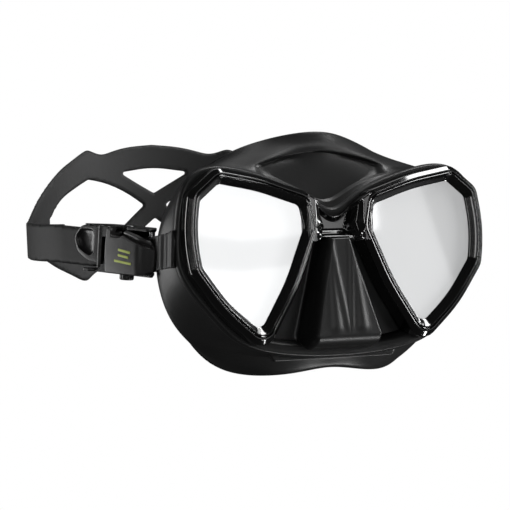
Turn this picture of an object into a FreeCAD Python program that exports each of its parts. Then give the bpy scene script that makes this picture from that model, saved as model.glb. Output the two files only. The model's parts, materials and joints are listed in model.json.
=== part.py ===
"""Diving mask: a silicone skirt, a rigid two-lens frame, two swivelling buckles and a split head strap.

Axes: +X is the wearer's left, +Y points back toward the face, +Z is up. The origin is the middle of the
face seat, halfway between the two buckle tabs. Lengths are millimetres.
"""

import FreeCAD, Part
import math
import os

from FreeCAD import Placement, Rotation, Vector

doc = FreeCAD.newDocument("DivingMask")

# ---------------------------------------------------------------------------------------------------
# Driving dimensions
# ---------------------------------------------------------------------------------------------------

DIMENSIONS = (
    # front assembly, measured forward of the face seat along -Y
    ("LandFront", 28.0), ("LipBack", 26.2), ("BezelBack", 24.6), ("GlassFront", 24.6),
    ("GlassBack", 20.9), ("FrameBack", 16.5), ("FlangeBack", 14.5),
    ("BridgeFront", 27.4), ("BridgeBack", 18.0), ("SaddleFront", 25.4),
    # how far each outline lies outside the visible edge of the glass
    ("LandGrow", 4.2), ("FrameGrow", 6.8), ("BezelGrow", 3.7), ("SeatGrow", 3.8),
    ("GlassGrow", 3.4), ("LedgeGrow", 2.2), ("CollarGrow", 2.1), ("CollarBore", 0.6),
    # skirt
    ("SkirtWall", 2.2), ("NoseTilt", 6.3), ("TabThick", 3.0), ("TabLow", 8.7), ("TabHigh", 15.4),
    ("TabLong", 21.4), ("TabRise", 4.2), ("TabYaw", 1.3), ("EyeRadius", 3.0),
    # buckle, in its own frame: x back along the strap, y outward, z along the pin
    ("BuckleX", 78.1), ("BuckleY", 3.5), ("BuckleZ", 0.9), ("BuckleYaw", 20.0), ("BucklePitch", 8.0),
    ("CheekInner", 9.0), ("CheekThick", 1.5), ("CheekFront", 6.0), ("UpperFront", 3.2), ("CheekBack", 25.0),
    ("FloorIn", 7.4), ("FloorThick", 1.1), ("CoverIn", 5.4), ("CoverOut", 8.2), ("CoverBack", 20.2),
    ("CoverStep", 1.3), ("PlateIn", 5.6), ("PlateOut", 7.8), ("PlateStart", 22.5), ("PlateLong", 17.0),
    ("ThumbDeep", 0.9), ("PinRadius", 1.3), ("PinBore", 1.36), ("RollerX", 22.3), ("RollerRadius", 3.0),
    ("RollerBore", 1.06), ("RollerHalf", 8.7), ("AxleRadius", 1.0),
    ("ButtonX", 13.8), ("ButtonRadius", 3.2), ("ButtonCrown", 1.2), ("StemRadius", 1.5),
    ("CapSeat", 7.2), ("CapHigh", 4.3), ("CapBore", 3.35), ("LowSeat", 9.2), ("LowHigh", 3.9),
    ("SpringRadius", 1.3), ("SpringWall", 0.4), ("SpringHalf", 6.0),
    ("EmblemX", 8.9), ("EmblemDown", 2.5), ("EmblemWide", 10.0), ("EmblemHigh", 7.0), ("EmblemSink", 0.5),
    ("EmblemProud", 0.15),
    # strap
    ("StrapStart", 48.0), ("StrapThick", 2.0), ("StrapHigh", 16.8), ("SideBend", 58.0), ("SideTurn", 50.0),
    ("RearTurn", 60.0), ("StrapTail", 20.0), ("StrapPlay", 0.1),
)

sheet = doc.addObject("Spreadsheet::Sheet", "Dimensions")
for row, (alias, value) in enumerate(DIMENSIONS, start=1):
    sheet.set("A%d" % row, alias)
    sheet.set("B%d" % row, "%g" % value)
    sheet.setAlias("B%d" % row, alias)
doc.recompute()


def dim(alias):
    """A driving dimension, read back from the sheet."""
    return float(sheet.get(alias))


# The right buckle's own frame is x back along the strap, y outward, z along the pin. The tab's starts at
# the same place and runs along the side of the skirt.
BUCKLE_SEAT = Placement(Vector(-dim("BuckleX"), dim("BuckleY"), dim("BuckleZ")),
                        Rotation(90 + dim("BuckleYaw"), -dim("BucklePitch"), 0))
TAB_SEAT = Placement(BUCKLE_SEAT.Base, Rotation(90 + dim("TabYaw"), -dim("BucklePitch"), 0))

# ---------------------------------------------------------------------------------------------------
# Outlines
# ---------------------------------------------------------------------------------------------------

# One lens opening seen from the front: x outward from the middle, z, corner radius. The points with a
# large radius only bow the long sides a little.
GLASS = (
    (19.5, 18.4, 3.0), (40.0, 24.9, 90.0), (58.9, 28.3, 3.5), (68.0, 21.2, 3.5), (70.6, 6.0, 60.0),
    (68.4, -7.3, 5.0), (56.6, -23.0, 70.0), (41.5, -35.6, 4.0), (27.7, -14.4, 90.0), (17.4, 8.7, 5.0),
)
BOW_RADIUS = 20.0   # corners rounder than this only bow a side, and follow an offset exactly
CORNER_SHARE = 0.6  # how much of an offset the other corners take up, so an outer edge is softer


def line_offset(start, end, grow):
    """The line through two points moved outward by grow: a point on it and its direction."""
    along = Vector(end.x - start.x, end.y - start.y, 0).normalize()
    outward = Vector(-along.y, along.x, 0)
    return start + outward * grow, along


def crossing(first, second):
    """Where two lines, each a point and a direction, cross."""
    (p, u), (q, v) = first, second
    step = ((q.x - p.x) * v.y - (q.y - p.y) * v.x) / (u.x * v.y - u.y * v.x)
    return p + u * step


def rounded(points, grow=0.0):
    """Lines and tangent arcs round a clockwise polygon of (x, y, radius), grown outward by grow."""
    count = len(points)
    base = [Vector(x, y, 0) for x, y, _ in points]
    sides = [line_offset(base[i], base[(i + 1) % count], grow) for i in range(count)]
    corners = [crossing(sides[i - 1], sides[i]) for i in range(count)]
    starts, ends, middles = [], [], []
    for i, corner in enumerate(corners):
        radius = points[i][2] + grow * (1.0 if points[i][2] > BOW_RADIUS else CORNER_SHARE)
        before, after = sides[i - 1][1], sides[i][1]
        half = before.getAngle(after) / 2
        reach = radius * math.tan(half)
        inward = (after - before).normalize()
        centre = corner + inward * (radius / math.cos(half))
        starts.append(corner - before * reach)
        ends.append(corner + after * reach)
        middles.append(centre - inward * radius)
    pieces = []
    for i in range(count):
        pieces.append(Part.Arc(starts[i], middles[i], ends[i]))
        pieces.append(Part.LineSegment(ends[i], starts[(i + 1) % count]))
    return pieces


def mirrored(points):
    """A polygon reflected in x = 0, still clockwise."""
    return tuple((-x, y, radius) for x, y, radius in reversed(points))


def rectangle(x0, y0, x1, y1, radius):
    """Corners of a clockwise rectangle with one corner radius."""
    return ((x0, y0, radius), (x0, y1, radius), (x1, y1, radius), (x1, y0, radius))


def circle(x, y, radius):
    """One full circle as a sketch loop."""
    return [Part.Circle(Vector(x, y, 0), Vector(0, 0, 1), radius)]


def face_of(pieces):
    """A flat face inside a loop of curves."""
    return Part.Face(Part.Wire([piece.toShape() for piece in pieces]))


# ---------------------------------------------------------------------------------------------------
# Part Design helpers
# ---------------------------------------------------------------------------------------------------


def new_body(label):
    """An empty body whose label is the sub-part's name."""
    body = doc.addObject("PartDesign::Body", label)
    body.Label = label
    return body


def sketch(body, role, loops, start):
    """A sketch on one of the body's own planes, moved along the plane's normal by an expression."""
    made = body.newObject("Sketcher::SketchObject", body.Name + "Sketch")
    plane = next(item for item in body.Origin.OriginFeatures if item.Role == role)
    made.AttachmentSupport = [(plane, "")]
    made.MapMode = "FlatFace"
    made.setExpression("AttachmentOffset.Base.z", start)
    for loop in loops:
        made.addGeometry(loop, False)
    return made


def prism(body, role, loops, start, length, cut=False):
    """Pad or pocket a profile along its plane's normal; both distances are expressions."""
    before = body.Shape.Volume if body.Tip else 0.0
    kind = "PartDesign::Pocket" if cut else "PartDesign::Pad"
    profile = sketch(body, role, loops, start)
    feature = body.newObject(kind, body.Name + ("Pocket" if cut else "Pad"))
    feature.Profile = profile
    feature.setExpression("Length", length)
    feature.Reversed = cut
    doc.recompute()
    changed = feature.Shape.Volume - before
    if (changed >= 0) if cut else (changed <= 0):
        raise RuntimeError("%s changed nothing in %s" % (feature.Name, body.Label))
    return feature


def funnel(body, role, first, first_at, second, second_at, cut=False):
    """A straight-sided loft between two matching profiles, added or cut."""
    kind = "PartDesign::SubtractiveLoft" if cut else "PartDesign::AdditiveLoft"
    start = sketch(body, role, [first], first_at)
    end = sketch(body, role, [second], second_at)
    feature = body.newObject(kind, body.Name + "Loft")
    feature.Profile = start
    feature.Sections = [end]
    feature.Ruled = True
    doc.recompute()
    return feature


def cell(alias):
    """The expression that reads one driving dimension."""
    return "Dimensions." + alias


def between(front, back):
    """The expression for the distance between two cells."""
    return "Dimensions.%s - Dimensions.%s" % (front, back)


# ---------------------------------------------------------------------------------------------------
# Frame, bezels and lenses. The XZ plane's normal points forward, so "start" is a distance forward.
# ---------------------------------------------------------------------------------------------------

BRIDGE = (
    (-26.0, 20.0, 4.0), (-15.5, 23.4, 4.0), (0.0, 9.6, 12.0), (15.5, 23.4, 4.0), (26.0, 20.0, 4.0),
    (22.0, 4.0, 4.0), (13.0, 2.4, 3.0), (0.0, 3.9, 40.0), (-13.0, 2.4, 3.0), (-22.0, 4.0, 4.0),
)
SADDLE = ((-4.6, 25.0, 1.0), (4.6, 25.0, 1.0), (7.6, 9.0, 1.5), (4.6, 0.0, 1.0), (-4.6, 0.0, 1.0),
          (-7.6, 9.0, 1.5))
SIDES = (("left", GLASS), ("right", mirrored(GLASS)))


def make_frame():
    """Both rims and the bridge, one rigid moulding with a stepped opening for each lens."""
    body = new_body("frame")
    prism(body, "XZ_Plane", [rounded(BRIDGE)], cell("BridgeBack"), between("BridgeFront", "BridgeBack"))
    for _, glass in SIDES:
        wall = rounded(glass, dim("FrameGrow"))
        prism(body, "XZ_Plane", [wall], cell("FrameBack"), between("LipBack", "FrameBack"))
        funnel(body, "XZ_Plane", wall, cell("LipBack"), rounded(glass, dim("LandGrow")), cell("LandFront"))
    prism(body, "XZ_Plane", [rounded(SADDLE)], cell("SaddleFront"),
          between("LandFront", "SaddleFront"), cut=True)
    for _, glass in SIDES:
        prism(body, "XZ_Plane", [rounded(glass, dim("SeatGrow"))], cell("GlassBack"),
              "Dimensions.LandFront - Dimensions.GlassBack + 1", cut=True)
        prism(body, "XZ_Plane", [rounded(glass, dim("LedgeGrow"))], "Dimensions.FrameBack - 1",
              "Dimensions.GlassBack - Dimensions.FrameBack + 2", cut=True)
    return body


def make_bezel(side, glass):
    """The ring in front of one lens: a flat land, then a funnel down to the glass."""
    body = new_body("bezel_" + side)
    prism(body, "XZ_Plane", [rounded(glass, dim("BezelGrow"))], cell("BezelBack"),
          between("LandFront", "BezelBack"))
    funnel(body, "XZ_Plane", rounded(glass), cell("BezelBack"), rounded(glass, dim("BezelGrow") - 0.6),
           cell("LandFront"), cut=True)
    return body


def make_lens(side, glass):
    """One flat tempered lens, wider than its opening so that the frame and the bezel hold it."""
    body = new_body("lens_" + side)
    prism(body, "XZ_Plane", [rounded(glass, dim("GlassGrow"))], cell("GlassBack"),
          between("GlassFront", "GlassBack"))
    return body


# ---------------------------------------------------------------------------------------------------
# Skirt
# ---------------------------------------------------------------------------------------------------

# Half contours of the skirt wall from the top middle round the wearer's left to the bottom middle:
# x, y, z. The first is the flat front edge behind the frame, the last is the free edge of the seal.
FRONT_EDGE = (
    (0, 15.5), (17, 24), (42, 32.5), (60, 34.5), (72, 27), (76.5, 8), (75, -10), (62, -27), (44, -41),
    (16, -46), (0, -46.5),
)
FLARE = (
    (0, -15.5, 33), (20, -14.5, 37), (43, -10, 36), (59, -8, 34.5), (71.6, -7, 23), (78.3, -5.5, 8),
    (77.4, -1.5, -12), (67, 1, -32.8), (46, -6, -44), (17, -14.5, -48.5), (0, -15, -49),
)
SEAL_EDGE = (
    (0, -10.6, 51.7), (20, -4.5, 49.6), (38, 1.5, 44), (52, 2.8, 36), (65, 6, 24), (71, 8.5, 6), (71, 8, -14),
    (59.2, 7, -39.2), (42, 1.5, -53), (20, -10, -54.9), (0, -12.5, -53),
)
LIP_EDGE = (
    (0, -6.5, 40), (17, -2, 39.5), (32, 4.5, 35), (44, 7, 29), (55, 10, 18.5), (60, 12.5, 4.5),
    (60, 12, -12), (50, 11, -27.5), (34, 6, -42), (14, -5, -43.5), (0, -7, -42.5),
)
NOSE = ((-6.4, 0.4, 2.0), (6.4, 0.4, 2.0), (17.8, -41.0, 5.0), (-17.8, -41.0, 5.0))
NOSE_TOP_FRONT, NOSE_BACK = 27.2, 16.0


def contour(half):
    """A closed smooth curve through a half contour and its mirror image, evenly parametrised."""
    other = [(-x, y, z) for x, y, z in reversed(half[1:-1])]
    points = [Vector(*point) for point in list(half) + other]
    curve = Part.BSplineCurve()
    curve.interpolate(Points=points, PeriodicFlag=True, Parameters=[float(i) for i in range(len(points) + 1)])
    return curve.toShape()


def inset(half, amount, back=0.0):
    """A half contour drawn in toward the mask's middle line by about amount, and moved back."""
    centre = -2.0
    result = []
    for x, y, z in half:
        length = math.hypot(x, z - centre)
        share = (length - amount) / length
        result.append((x * share, y + back, centre + (z - centre) * share))
    return tuple(result)


def nose_block(shrink, back):
    """The nose pocket as a tilted, tapering block; shrink makes the hollow inside it."""
    front = Part.Wire([piece.toShape() for piece in rounded(NOSE, -shrink)])
    rear = Part.Wire([piece.toShape() for piece in rounded(NOSE, 3.2 - shrink)])
    front.rotate(Vector(0, 0, 0), Vector(1, 0, 0), 90 - dim("NoseTilt"))
    front.translate(Vector(0, shrink - NOSE_TOP_FRONT, 0))
    rear.rotate(Vector(0, 0, 0), Vector(1, 0, 0), 90)
    rear.translate(Vector(0, back, 0))
    return Part.makeLoft([front, rear], True, True)


def plate(pieces, front, back):
    """A flat outline in the lens plane made solid between two distances forward."""
    face = face_of(pieces)
    face.rotate(Vector(0, 0, 0), Vector(1, 0, 0), 90)
    face.translate(Vector(0, -back, 0))
    return face.extrude(Vector(0, back - front, 0))


def skirt_wall():
    """The hollow silicone wall from the flange behind the frame to the inturned face seal."""
    wall = dim("SkirtWall")
    front_out = tuple((x, -dim("FrameBack"), z) for x, z in FRONT_EDGE)
    front_in = tuple((x, -dim("FlangeBack"), z) for x, z in FRONT_EDGE)
    outer = [contour(half) for half in (front_out, FLARE, SEAL_EDGE, LIP_EDGE)]
    inner = [contour(half) for half in (inset(LIP_EDGE, 0.6, -1.4), inset(SEAL_EDGE, wall * 1.2, -0.3),
                                        inset(FLARE, wall * 0.7, 1.8), inset(front_in, wall))]
    rings = outer + inner
    faces = [Part.Face(Part.Wire(rings[0])), Part.Face(Part.Wire(rings[-1]))]
    faces += [Part.makeRuledSurface(a, b) for a, b in zip(rings, rings[1:])]
    shell = Part.makeShell(faces)
    shell.sewShape()
    solid = Part.makeSolid(shell)
    if solid.Volume < 0:
        solid.reverse()
    return solid


def strap_tab():
    """The right tab, rising toward the front from its eye, and the bore for the buckle's pin."""
    low, high, rise = -dim("TabLow"), dim("TabHigh") - dim("TabLow"), dim("TabRise")
    corners = [Vector(0, 0, low), Vector(0, 0, high), Vector(-dim("TabLong"), 0, high + rise),
               Vector(-dim("TabLong"), 0, low + rise)]
    slab = Part.Face(Part.makePolygon(corners + corners[:1])).extrude(Vector(0, dim("TabThick"), 0))
    slab.translate(Vector(0, -dim("TabThick") / 2, 0))
    slab.Placement = TAB_SEAT.multiply(slab.Placement)
    eye = Part.makeCylinder(dim("EyeRadius"), dim("TabHigh"), Vector(0, 0, low))
    bore = Part.makeCylinder(dim("PinBore"), 2 * dim("TabHigh"), Vector(0, 0, -dim("TabHigh")))
    for piece in (eye, bore):
        piece.Placement = BUCKLE_SEAT.multiply(piece.Placement)
    return slab.fuse(eye), bore


def make_skirt(frame):
    """Wall, nose pocket, lens collars and strap tabs in one moulding, cut to the frame it is moulded on."""
    skirt = doc.addObject("Part::Feature", "skirt")
    shape = skirt_wall().fuse(nose_block(0.0, -NOSE_BACK))
    shape = shape.cut(nose_block(dim("SkirtWall"), 2.0 - dim("FlangeBack")))
    for _, glass in SIDES:
        collar = rounded(glass, dim("CollarGrow"))
        shape = shape.fuse(plate(collar, dim("GlassBack"), dim("FlangeBack")))
        shape = shape.cut(plate(rounded(glass, dim("CollarBore")), dim("GlassBack") + 1, 0.0))
    tab, bore = strap_tab()
    for side in ("right", "left"):
        if side == "left":
            tab, bore = [piece.mirror(Vector(0, 0, 0), Vector(1, 0, 0)) for piece in (tab, bore)]
        shape = shape.fuse(tab).cut(bore)
    skirt.Shape = shape.cut(frame.Shape).removeSplitter()
    skirt.Placement = Placement()
    return skirt


# ---------------------------------------------------------------------------------------------------
# Buckle, modelled for the wearer's right in its own frame and mirrored for the left
# ---------------------------------------------------------------------------------------------------

def make_base():
    """Two cheeks on a floor, and the D-shaped thumb plate with its hollow for a fingertip."""
    body = new_body("buckle_base_right")
    outer = dim("CheekInner") + dim("CheekThick")
    front, back, floor = -dim("CheekFront"), dim("CheekBack"), -dim("FloorIn")
    whole = "2 * (Dimensions.CheekInner + Dimensions.CheekThick)"
    low = "-Dimensions.CheekInner - Dimensions.CheekThick"
    prism(body, "XY_Plane", [rounded(rectangle(6.5, floor, back, floor + dim("FloorThick"), 0.4))],
          low, whole)
    rear = ((back + 3.0, 5.3, 0.3), (back + 5.0, 7.8, 1.0), (back + 9.0, 7.8, 0.8),
            (back + 4.0, floor + 1.5, 2.0), (back - 1.0, floor, 1.0), (4.2, floor, 1.5))
    lower = ((front + 0.7, 3.9, 0.6), (front + 0.7, 5.3, 0.6)) + rear
    upper = ((-dim("UpperFront"), 1.2, 0.8), (-dim("UpperFront"), 5.3, 2.0)) + rear
    prism(body, "XY_Plane", [rounded(lower)], low, cell("CheekThick"))
    prism(body, "XY_Plane", [rounded(upper)], cell("CheekInner"), cell("CheekThick"))
    start, end = dim("PlateStart"), dim("PlateStart") + dim("PlateLong")
    thumb = ((start, -outer, 0.8), (start, outer, 0.8), (start + 7.0, outer, 6.0), (end, 5.2, 8.0),
             (end, -5.2, 8.0), (start + 7.0, -outer, 6.0))
    prism(body, "XZ_Plane", [rounded(thumb)], "-Dimensions.PlateOut", between("PlateOut", "PlateIn"))
    dish = ((start + 4.0, -6.0, 4.0), (start + 4.0, 6.0, 4.0), (end - 2.2, 4.4, 5.0), (end - 2.2, -4.4, 5.0))
    prism(body, "XZ_Plane", [rounded(dish)], "-Dimensions.PlateOut", cell("ThumbDeep"), cut=True)
    prism(body, "XY_Plane", [circle(0, 0, dim("PinRadius"))], "-Dimensions.CheekInner - 2",
          "2 * Dimensions.CheekInner + 4", cut=True)
    prism(body, "XY_Plane", [circle(dim("RollerX"), 0, dim("AxleRadius"))],
          "-Dimensions.CheekInner - 2", "2 * Dimensions.CheekInner + 4", cut=True)
    reach = dim("CapBore")
    notch = rectangle(dim("ButtonX") - reach, -reach, dim("ButtonX") + reach, 9.0, reach - 0.1)
    for start in ("Dimensions.CheekInner - 1", "-Dimensions.CheekInner - 3"):
        prism(body, "XY_Plane", [rounded(notch)], start, "4", cut=True)
    return body


def make_cover():
    """The lid: its top corner steps down along a slant and is notched for the upper button."""
    body = new_body("buckle_cover_right")
    outer = dim("CheekInner") + dim("CheekThick")
    front, back = -dim("CheekFront"), dim("CoverBack")
    hole_front, hole_back = dim("ButtonX") - dim("CapBore"), dim("ButtonX") + dim("CapBore")
    lid = ((front, -outer + 1.0, 5.0), (front, 2.0, 2.5), (-1.0, 6.4, 3.0), (hole_front, 8.6, 0.6),
           (hole_front + 0.2, 6.2, 0.3), (hole_back - 0.2, 6.2, 0.3), (hole_back, outer, 0.6),
           (back, outer, 1.0), (back, -outer, 1.0))
    prism(body, "XZ_Plane", [rounded(lid)], "-Dimensions.CoverOut", between("CoverOut", "CoverIn"))
    step = ((front - 1.0, 1.0, 0.3), (front - 1.0, outer + 1.0, 0.3), (back + 1.0, outer + 1.0, 0.3),
            (back + 1.0, 9.9, 0.3), (6.0, 4.6, 8.0))
    prism(body, "XZ_Plane", [rounded(step)], "-Dimensions.CoverOut", cell("CoverStep"), cut=True)
    x, wide, high = dim("EmblemX"), dim("EmblemWide") / 2, dim("EmblemHigh") / 2
    down = dim("EmblemDown")
    pocket = rectangle(x - wide, -high - down, x + wide, high - down, 2.0)
    prism(body, "XZ_Plane", [rounded(pocket)], "-Dimensions.CoverOut", cell("EmblemSink"), cut=True)
    return body


def make_emblem():
    """A plain coloured inlay in the cover's pocket."""
    body = new_body("emblem_right")
    x, wide, high = dim("EmblemX"), dim("EmblemWide") / 2, dim("EmblemHigh") / 2
    down = dim("EmblemDown")
    inlay = rectangle(x - wide, -high - down, x + wide, high - down, 2.0)
    prism(body, "XZ_Plane", [rounded(inlay, -0.1)], "-Dimensions.CoverOut - Dimensions.EmblemProud",
          "Dimensions.EmblemSink + Dimensions.EmblemProud")
    return body


def make_roller():
    """The roller that the strap turns round."""
    body = new_body("roller_right")
    prism(body, "XY_Plane", [circle(0, 0, dim("RollerRadius")), circle(0, 0, dim("RollerBore"))],
          "-Dimensions.RollerHalf", "2 * Dimensions.RollerHalf")
    return body


def make_rod(label, radius, half):
    """A plain pin along z, held in both cheeks."""
    rod = doc.addObject("Part::Cylinder", label)
    rod.Label = label
    rod.setExpression("Radius", radius)
    rod.setExpression("Height", "2 * (%s)" % half)
    return rod


def make_button(label, up, cap_start, high):
    """A domed push button on a stem that reaches in to the spring; up is -1 for the lower one."""
    radius, crown, stem = dim("ButtonRadius"), dim("ButtonCrown"), cap_start - dim("SpringHalf")
    profile = [
        Part.LineSegment(Vector(0, cap_start - stem, 0), Vector(dim("StemRadius"), cap_start - stem, 0)),
        Part.LineSegment(Vector(dim("StemRadius"), cap_start - stem, 0),
                         Vector(dim("StemRadius"), cap_start, 0)),
        Part.LineSegment(Vector(dim("StemRadius"), cap_start, 0), Vector(radius, cap_start, 0)),
        Part.LineSegment(Vector(radius, cap_start, 0), Vector(radius, cap_start + high * 0.45, 0)),
        Part.Arc(Vector(radius, cap_start + high * 0.45, 0),
                 Vector(radius * 0.78, cap_start + high * 0.86, 0), Vector(crown, cap_start + high, 0)),
        Part.LineSegment(Vector(crown, cap_start + high, 0), Vector(0, cap_start + high, 0)),
        Part.LineSegment(Vector(0, cap_start + high, 0), Vector(0, cap_start - stem, 0)),
    ]
    body = new_body(label)
    outline = sketch(body, "XZ_Plane", [profile], "0")
    turned = body.newObject("PartDesign::Revolution", label + "Turned")
    turned.Profile = outline
    turned.ReferenceAxis = (outline, ["V_Axis"])
    turned.Angle = 360.0
    if up < 0:
        body.Placement = Placement(Vector(), Rotation(Vector(1, 0, 0), 180))
    return body


def make_spring():
    """The return spring between the two stems, as a thin sleeve of the coil's outer size."""
    body = new_body("button_spring_right")
    outer = dim("SpringRadius")
    prism(body, "XY_Plane", [circle(0, 0, outer), circle(0, 0, outer - dim("SpringWall"))],
          "-Dimensions.SpringHalf", "2 * Dimensions.SpringHalf")
    return body


def seat(piece, offset=Vector()):
    """Move a piece from the buckle's own frame, at an offset in it, to the wearer's right side."""
    piece.Placement = BUCKLE_SEAT.multiply(Placement(offset, Rotation())).multiply(piece.Placement)
    return piece


def other_side(piece):
    """The same piece mirrored for the wearer's left."""
    label = piece.Label.replace("_right", "_left")
    twin = doc.addObject("Part::Mirroring", label)
    twin.Label = label
    twin.Source = piece
    twin.Normal = Vector(1, 0, 0)
    return twin


def make_buckle():
    """All the pieces of the right buckle, seated on the mask."""
    rod_half = "Dimensions.CheekInner + Dimensions.CheekThick"
    roller, button = Vector(dim("RollerX"), 0, 0), Vector(dim("ButtonX"), 0, 0)
    ends = Vector(0, 0, -dim("CheekInner") - dim("CheekThick"))
    return [
        seat(make_base()), seat(make_cover()), seat(make_emblem()), seat(make_roller(), roller),
        seat(make_rod("roller_axle_right", cell("AxleRadius"), rod_half), roller + ends),
        seat(make_rod("tab_pin_right", cell("PinRadius"), rod_half), ends),
        seat(make_button("button_upper_right", 1, dim("CapSeat"), dim("CapHigh")), button),
        seat(make_button("button_lower_right", -1, dim("LowSeat"), dim("LowHigh")), button),
        seat(make_spring(), button),
    ]


# ---------------------------------------------------------------------------------------------------
# Strap
# ---------------------------------------------------------------------------------------------------

# The edge of the strap seen from the side (y, z) up to its split, and from behind (x, z) beyond it.
SIDE_VIEW = (
    (46.0, 16.0), (80.0, 18.5), (100.0, 21.5), (118.2, 34.0), (128.5, 42.4), (131.0, 75.0), (170.0, 75.0),
    (170.0, -20.0), (131.0, -20.0), (127.0, 1.0), (120.0, 4.0), (100.0, 4.0), (80.0, 2.2), (46.0, -1.0),
)
REAR_TOP = ((64.0, 43.5), (57.7, 47.9), (50.0, 52.4), (43.0, 57.2), (39.0, 57.8), (31.4, 56.4), (24.3, 57.8),
            (14.0, 60.2), (0.0, 61.5))
REAR_LOW = ((68.0, 1.0), (58.4, -2.4), (51.0, -4.9), (44.0, -6.2), (36.4, -1.6), (20.0, 1.4), (0.0, 2.4))
TOP_WINDOW = ((0.0, 37.0, 1.5), (-19.5, 47.0, 0.8), (0.0, 50.2, 60.0), (19.5, 47.0, 0.8))
LOW_WINDOW = ((0.0, 24.5, 1.5), (15.5, 13.0, 0.8), (0.0, 12.0, 60.0), (-15.5, 13.0, 0.8))
SIDE_WINDOW = (
    (6.0, 31.0, 1.2), (22.0, 41.0, 60.0), (40.0, 44.2, 3.0), (62.0, 32.6, 60.0), (73.5, 19.5, 3.0),
    (62.0, 12.0, 12.0), (42.0, 7.0, 3.0), (21.0, 19.0, 60.0),
)


def ribbon(start, heading, moves, thick):
    """A flat band's plan: it runs from start along moves of (radius or None, length or turn)."""
    here, angle = Vector(start), heading
    left, right = [], []
    for radius, amount in moves:
        before = here, angle
        if radius is None:
            here = here + Vector(math.cos(angle), math.sin(angle), 0) * amount
            middle = (before[0] + here) * 0.5, angle
        else:
            turn = math.radians(amount)
            side = math.copysign(1.0, turn)
            hub = here + Vector(-math.sin(angle), math.cos(angle), 0) * radius * side
            stops = [angle + turn * share for share in (0.5, 1.0)]
            places = [hub + Vector(math.sin(a), -math.cos(a), 0) * radius * side for a in stops]
            middle = places[0], stops[0]
            here, angle = places[1], stops[1]
        for edges, sign in ((left, 0.5), (right, -0.5)):
            points = [place + Vector(-math.sin(a), math.cos(a), 0) * thick * sign
                      for place, a in (before, middle, (here, angle))]
            edges.append(Part.LineSegment(points[0], points[2]).toShape() if radius is None
                         else Part.Arc(*points).toShape())
    ends = [Part.LineSegment(a, b).toShape() for a, b in (
        (left[0].Vertexes[0].Point, right[0].Vertexes[0].Point),
        (left[-1].Vertexes[-1].Point, right[-1].Vertexes[-1].Point))]
    wire = Part.Wire(Part.__sortEdges__(left + right + ends))
    return Part.Face(wire), here, angle


def silhouette(points, axis):
    """A closed flat polygon of (a, z) points as a long prism along X or along Y."""
    if axis == "X":
        wire = Part.makePolygon([Vector(-150, a, z) for a, z in points + points[:1]])
        return Part.Face(wire).extrude(Vector(300, 0, 0))
    wire = Part.makePolygon([Vector(a, 100, z) for a, z in points + points[:1]])
    return Part.Face(wire).extrude(Vector(0, 80, 0))


def window(points):
    """A rounded opening through the rear panel."""
    return plate(rounded(points), -180.0, -100.0)


def make_strap():
    """Side bands that rise to a split rear panel; each end turns round its buckle's roller."""
    thick, wrap = dim("StrapThick"), dim("RollerRadius") + dim("StrapPlay") + dim("StrapThick") / 2
    yaw = math.radians(90 + dim("BuckleYaw"))
    along = Vector(math.cos(yaw), math.sin(yaw), 0)
    outward = Vector(-math.sin(yaw), math.cos(yaw), 0)
    pin = Vector(-dim("BuckleX"), dim("BuckleY"), 0)
    start = pin + along * dim("StrapStart") * math.cos(math.radians(dim("BucklePitch"))) + outward * wrap
    face, turned, angle = ribbon(start, yaw, [(dim("SideBend"), -dim("SideTurn"))], thick)
    rear_radius = -turned.x / math.sin(math.radians(dim("RearTurn")))
    lead = 12.0
    half, _, _ = ribbon(start - along * lead, yaw, [(None, lead), (dim("SideBend"), -dim("SideTurn")),
                                                    (rear_radius, -dim("RearTurn"))], thick)
    half.translate(Vector(0, 0, -25))
    wall = half.extrude(Vector(0, 0, 105))
    wall = wall.fuse(wall.mirror(Vector(0, 0, 0), Vector(1, 0, 0))).removeSplitter()
    rise = math.tan(math.radians(dim("BucklePitch")))
    side_points = [(30.0, 16.0 - 16 * rise)] + list(SIDE_VIEW) + [(30.0, -1.0 - 16 * rise)]
    shape = wall.common(silhouette(side_points, "X"))
    top = [(150.0, 43.5)] + list(REAR_TOP) + [(-x, z) for x, z in reversed(REAR_TOP[:-1])] + [(-150.0, 43.5)]
    low = [(-150.0, -20.0), (-68.0, -20.0)] + [(-x, z) for x, z in REAR_LOW]
    low += [(x, z) for x, z in reversed(REAR_LOW[:-1])] + [(68.0, -20.0), (150.0, -20.0)]
    shape = shape.common(silhouette(top + low, "Y").fuse(Part.makeBox(300, 118, 120, Vector(-150, -18, -30))))
    for opening in (TOP_WINDOW, LOW_WINDOW, SIDE_WINDOW, mirrored(SIDE_WINDOW)):
        shape = shape.cut(window(opening))
    overlap = dim("StrapStart") - 6.0
    moves = [(None, overlap - dim("RollerX")), (wrap, 180.0), (None, dim("StrapTail"))]
    first = Vector(overlap, wrap, 0)
    loop, _, _ = ribbon(first, math.pi, moves, thick)
    high = dim("StrapHigh")
    loop.translate(Vector(0, 0, -high / 2))
    end = loop.extrude(Vector(0, 0, high))
    end.Placement = BUCKLE_SEAT.multiply(end.Placement)
    shape = shape.fuse(end).fuse(end.mirror(Vector(0, 0, 0), Vector(1, 0, 0))).removeSplitter()
    strap = doc.addObject("Part::Feature", "strap")
    strap.Shape = shape
    strap.Placement = Placement()
    return strap


# ---------------------------------------------------------------------------------------------------
# Build, check and write
# ---------------------------------------------------------------------------------------------------

frame = make_frame()
doc.recompute()
subparts = [frame, make_skirt(frame), make_strap()]
for side, glass in SIDES:
    subparts += [make_bezel(side, glass), make_lens(side, glass)]
doc.recompute()
right = make_buckle()
doc.recompute()
subparts += right + [other_side(piece) for piece in right]
doc.recompute()

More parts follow.
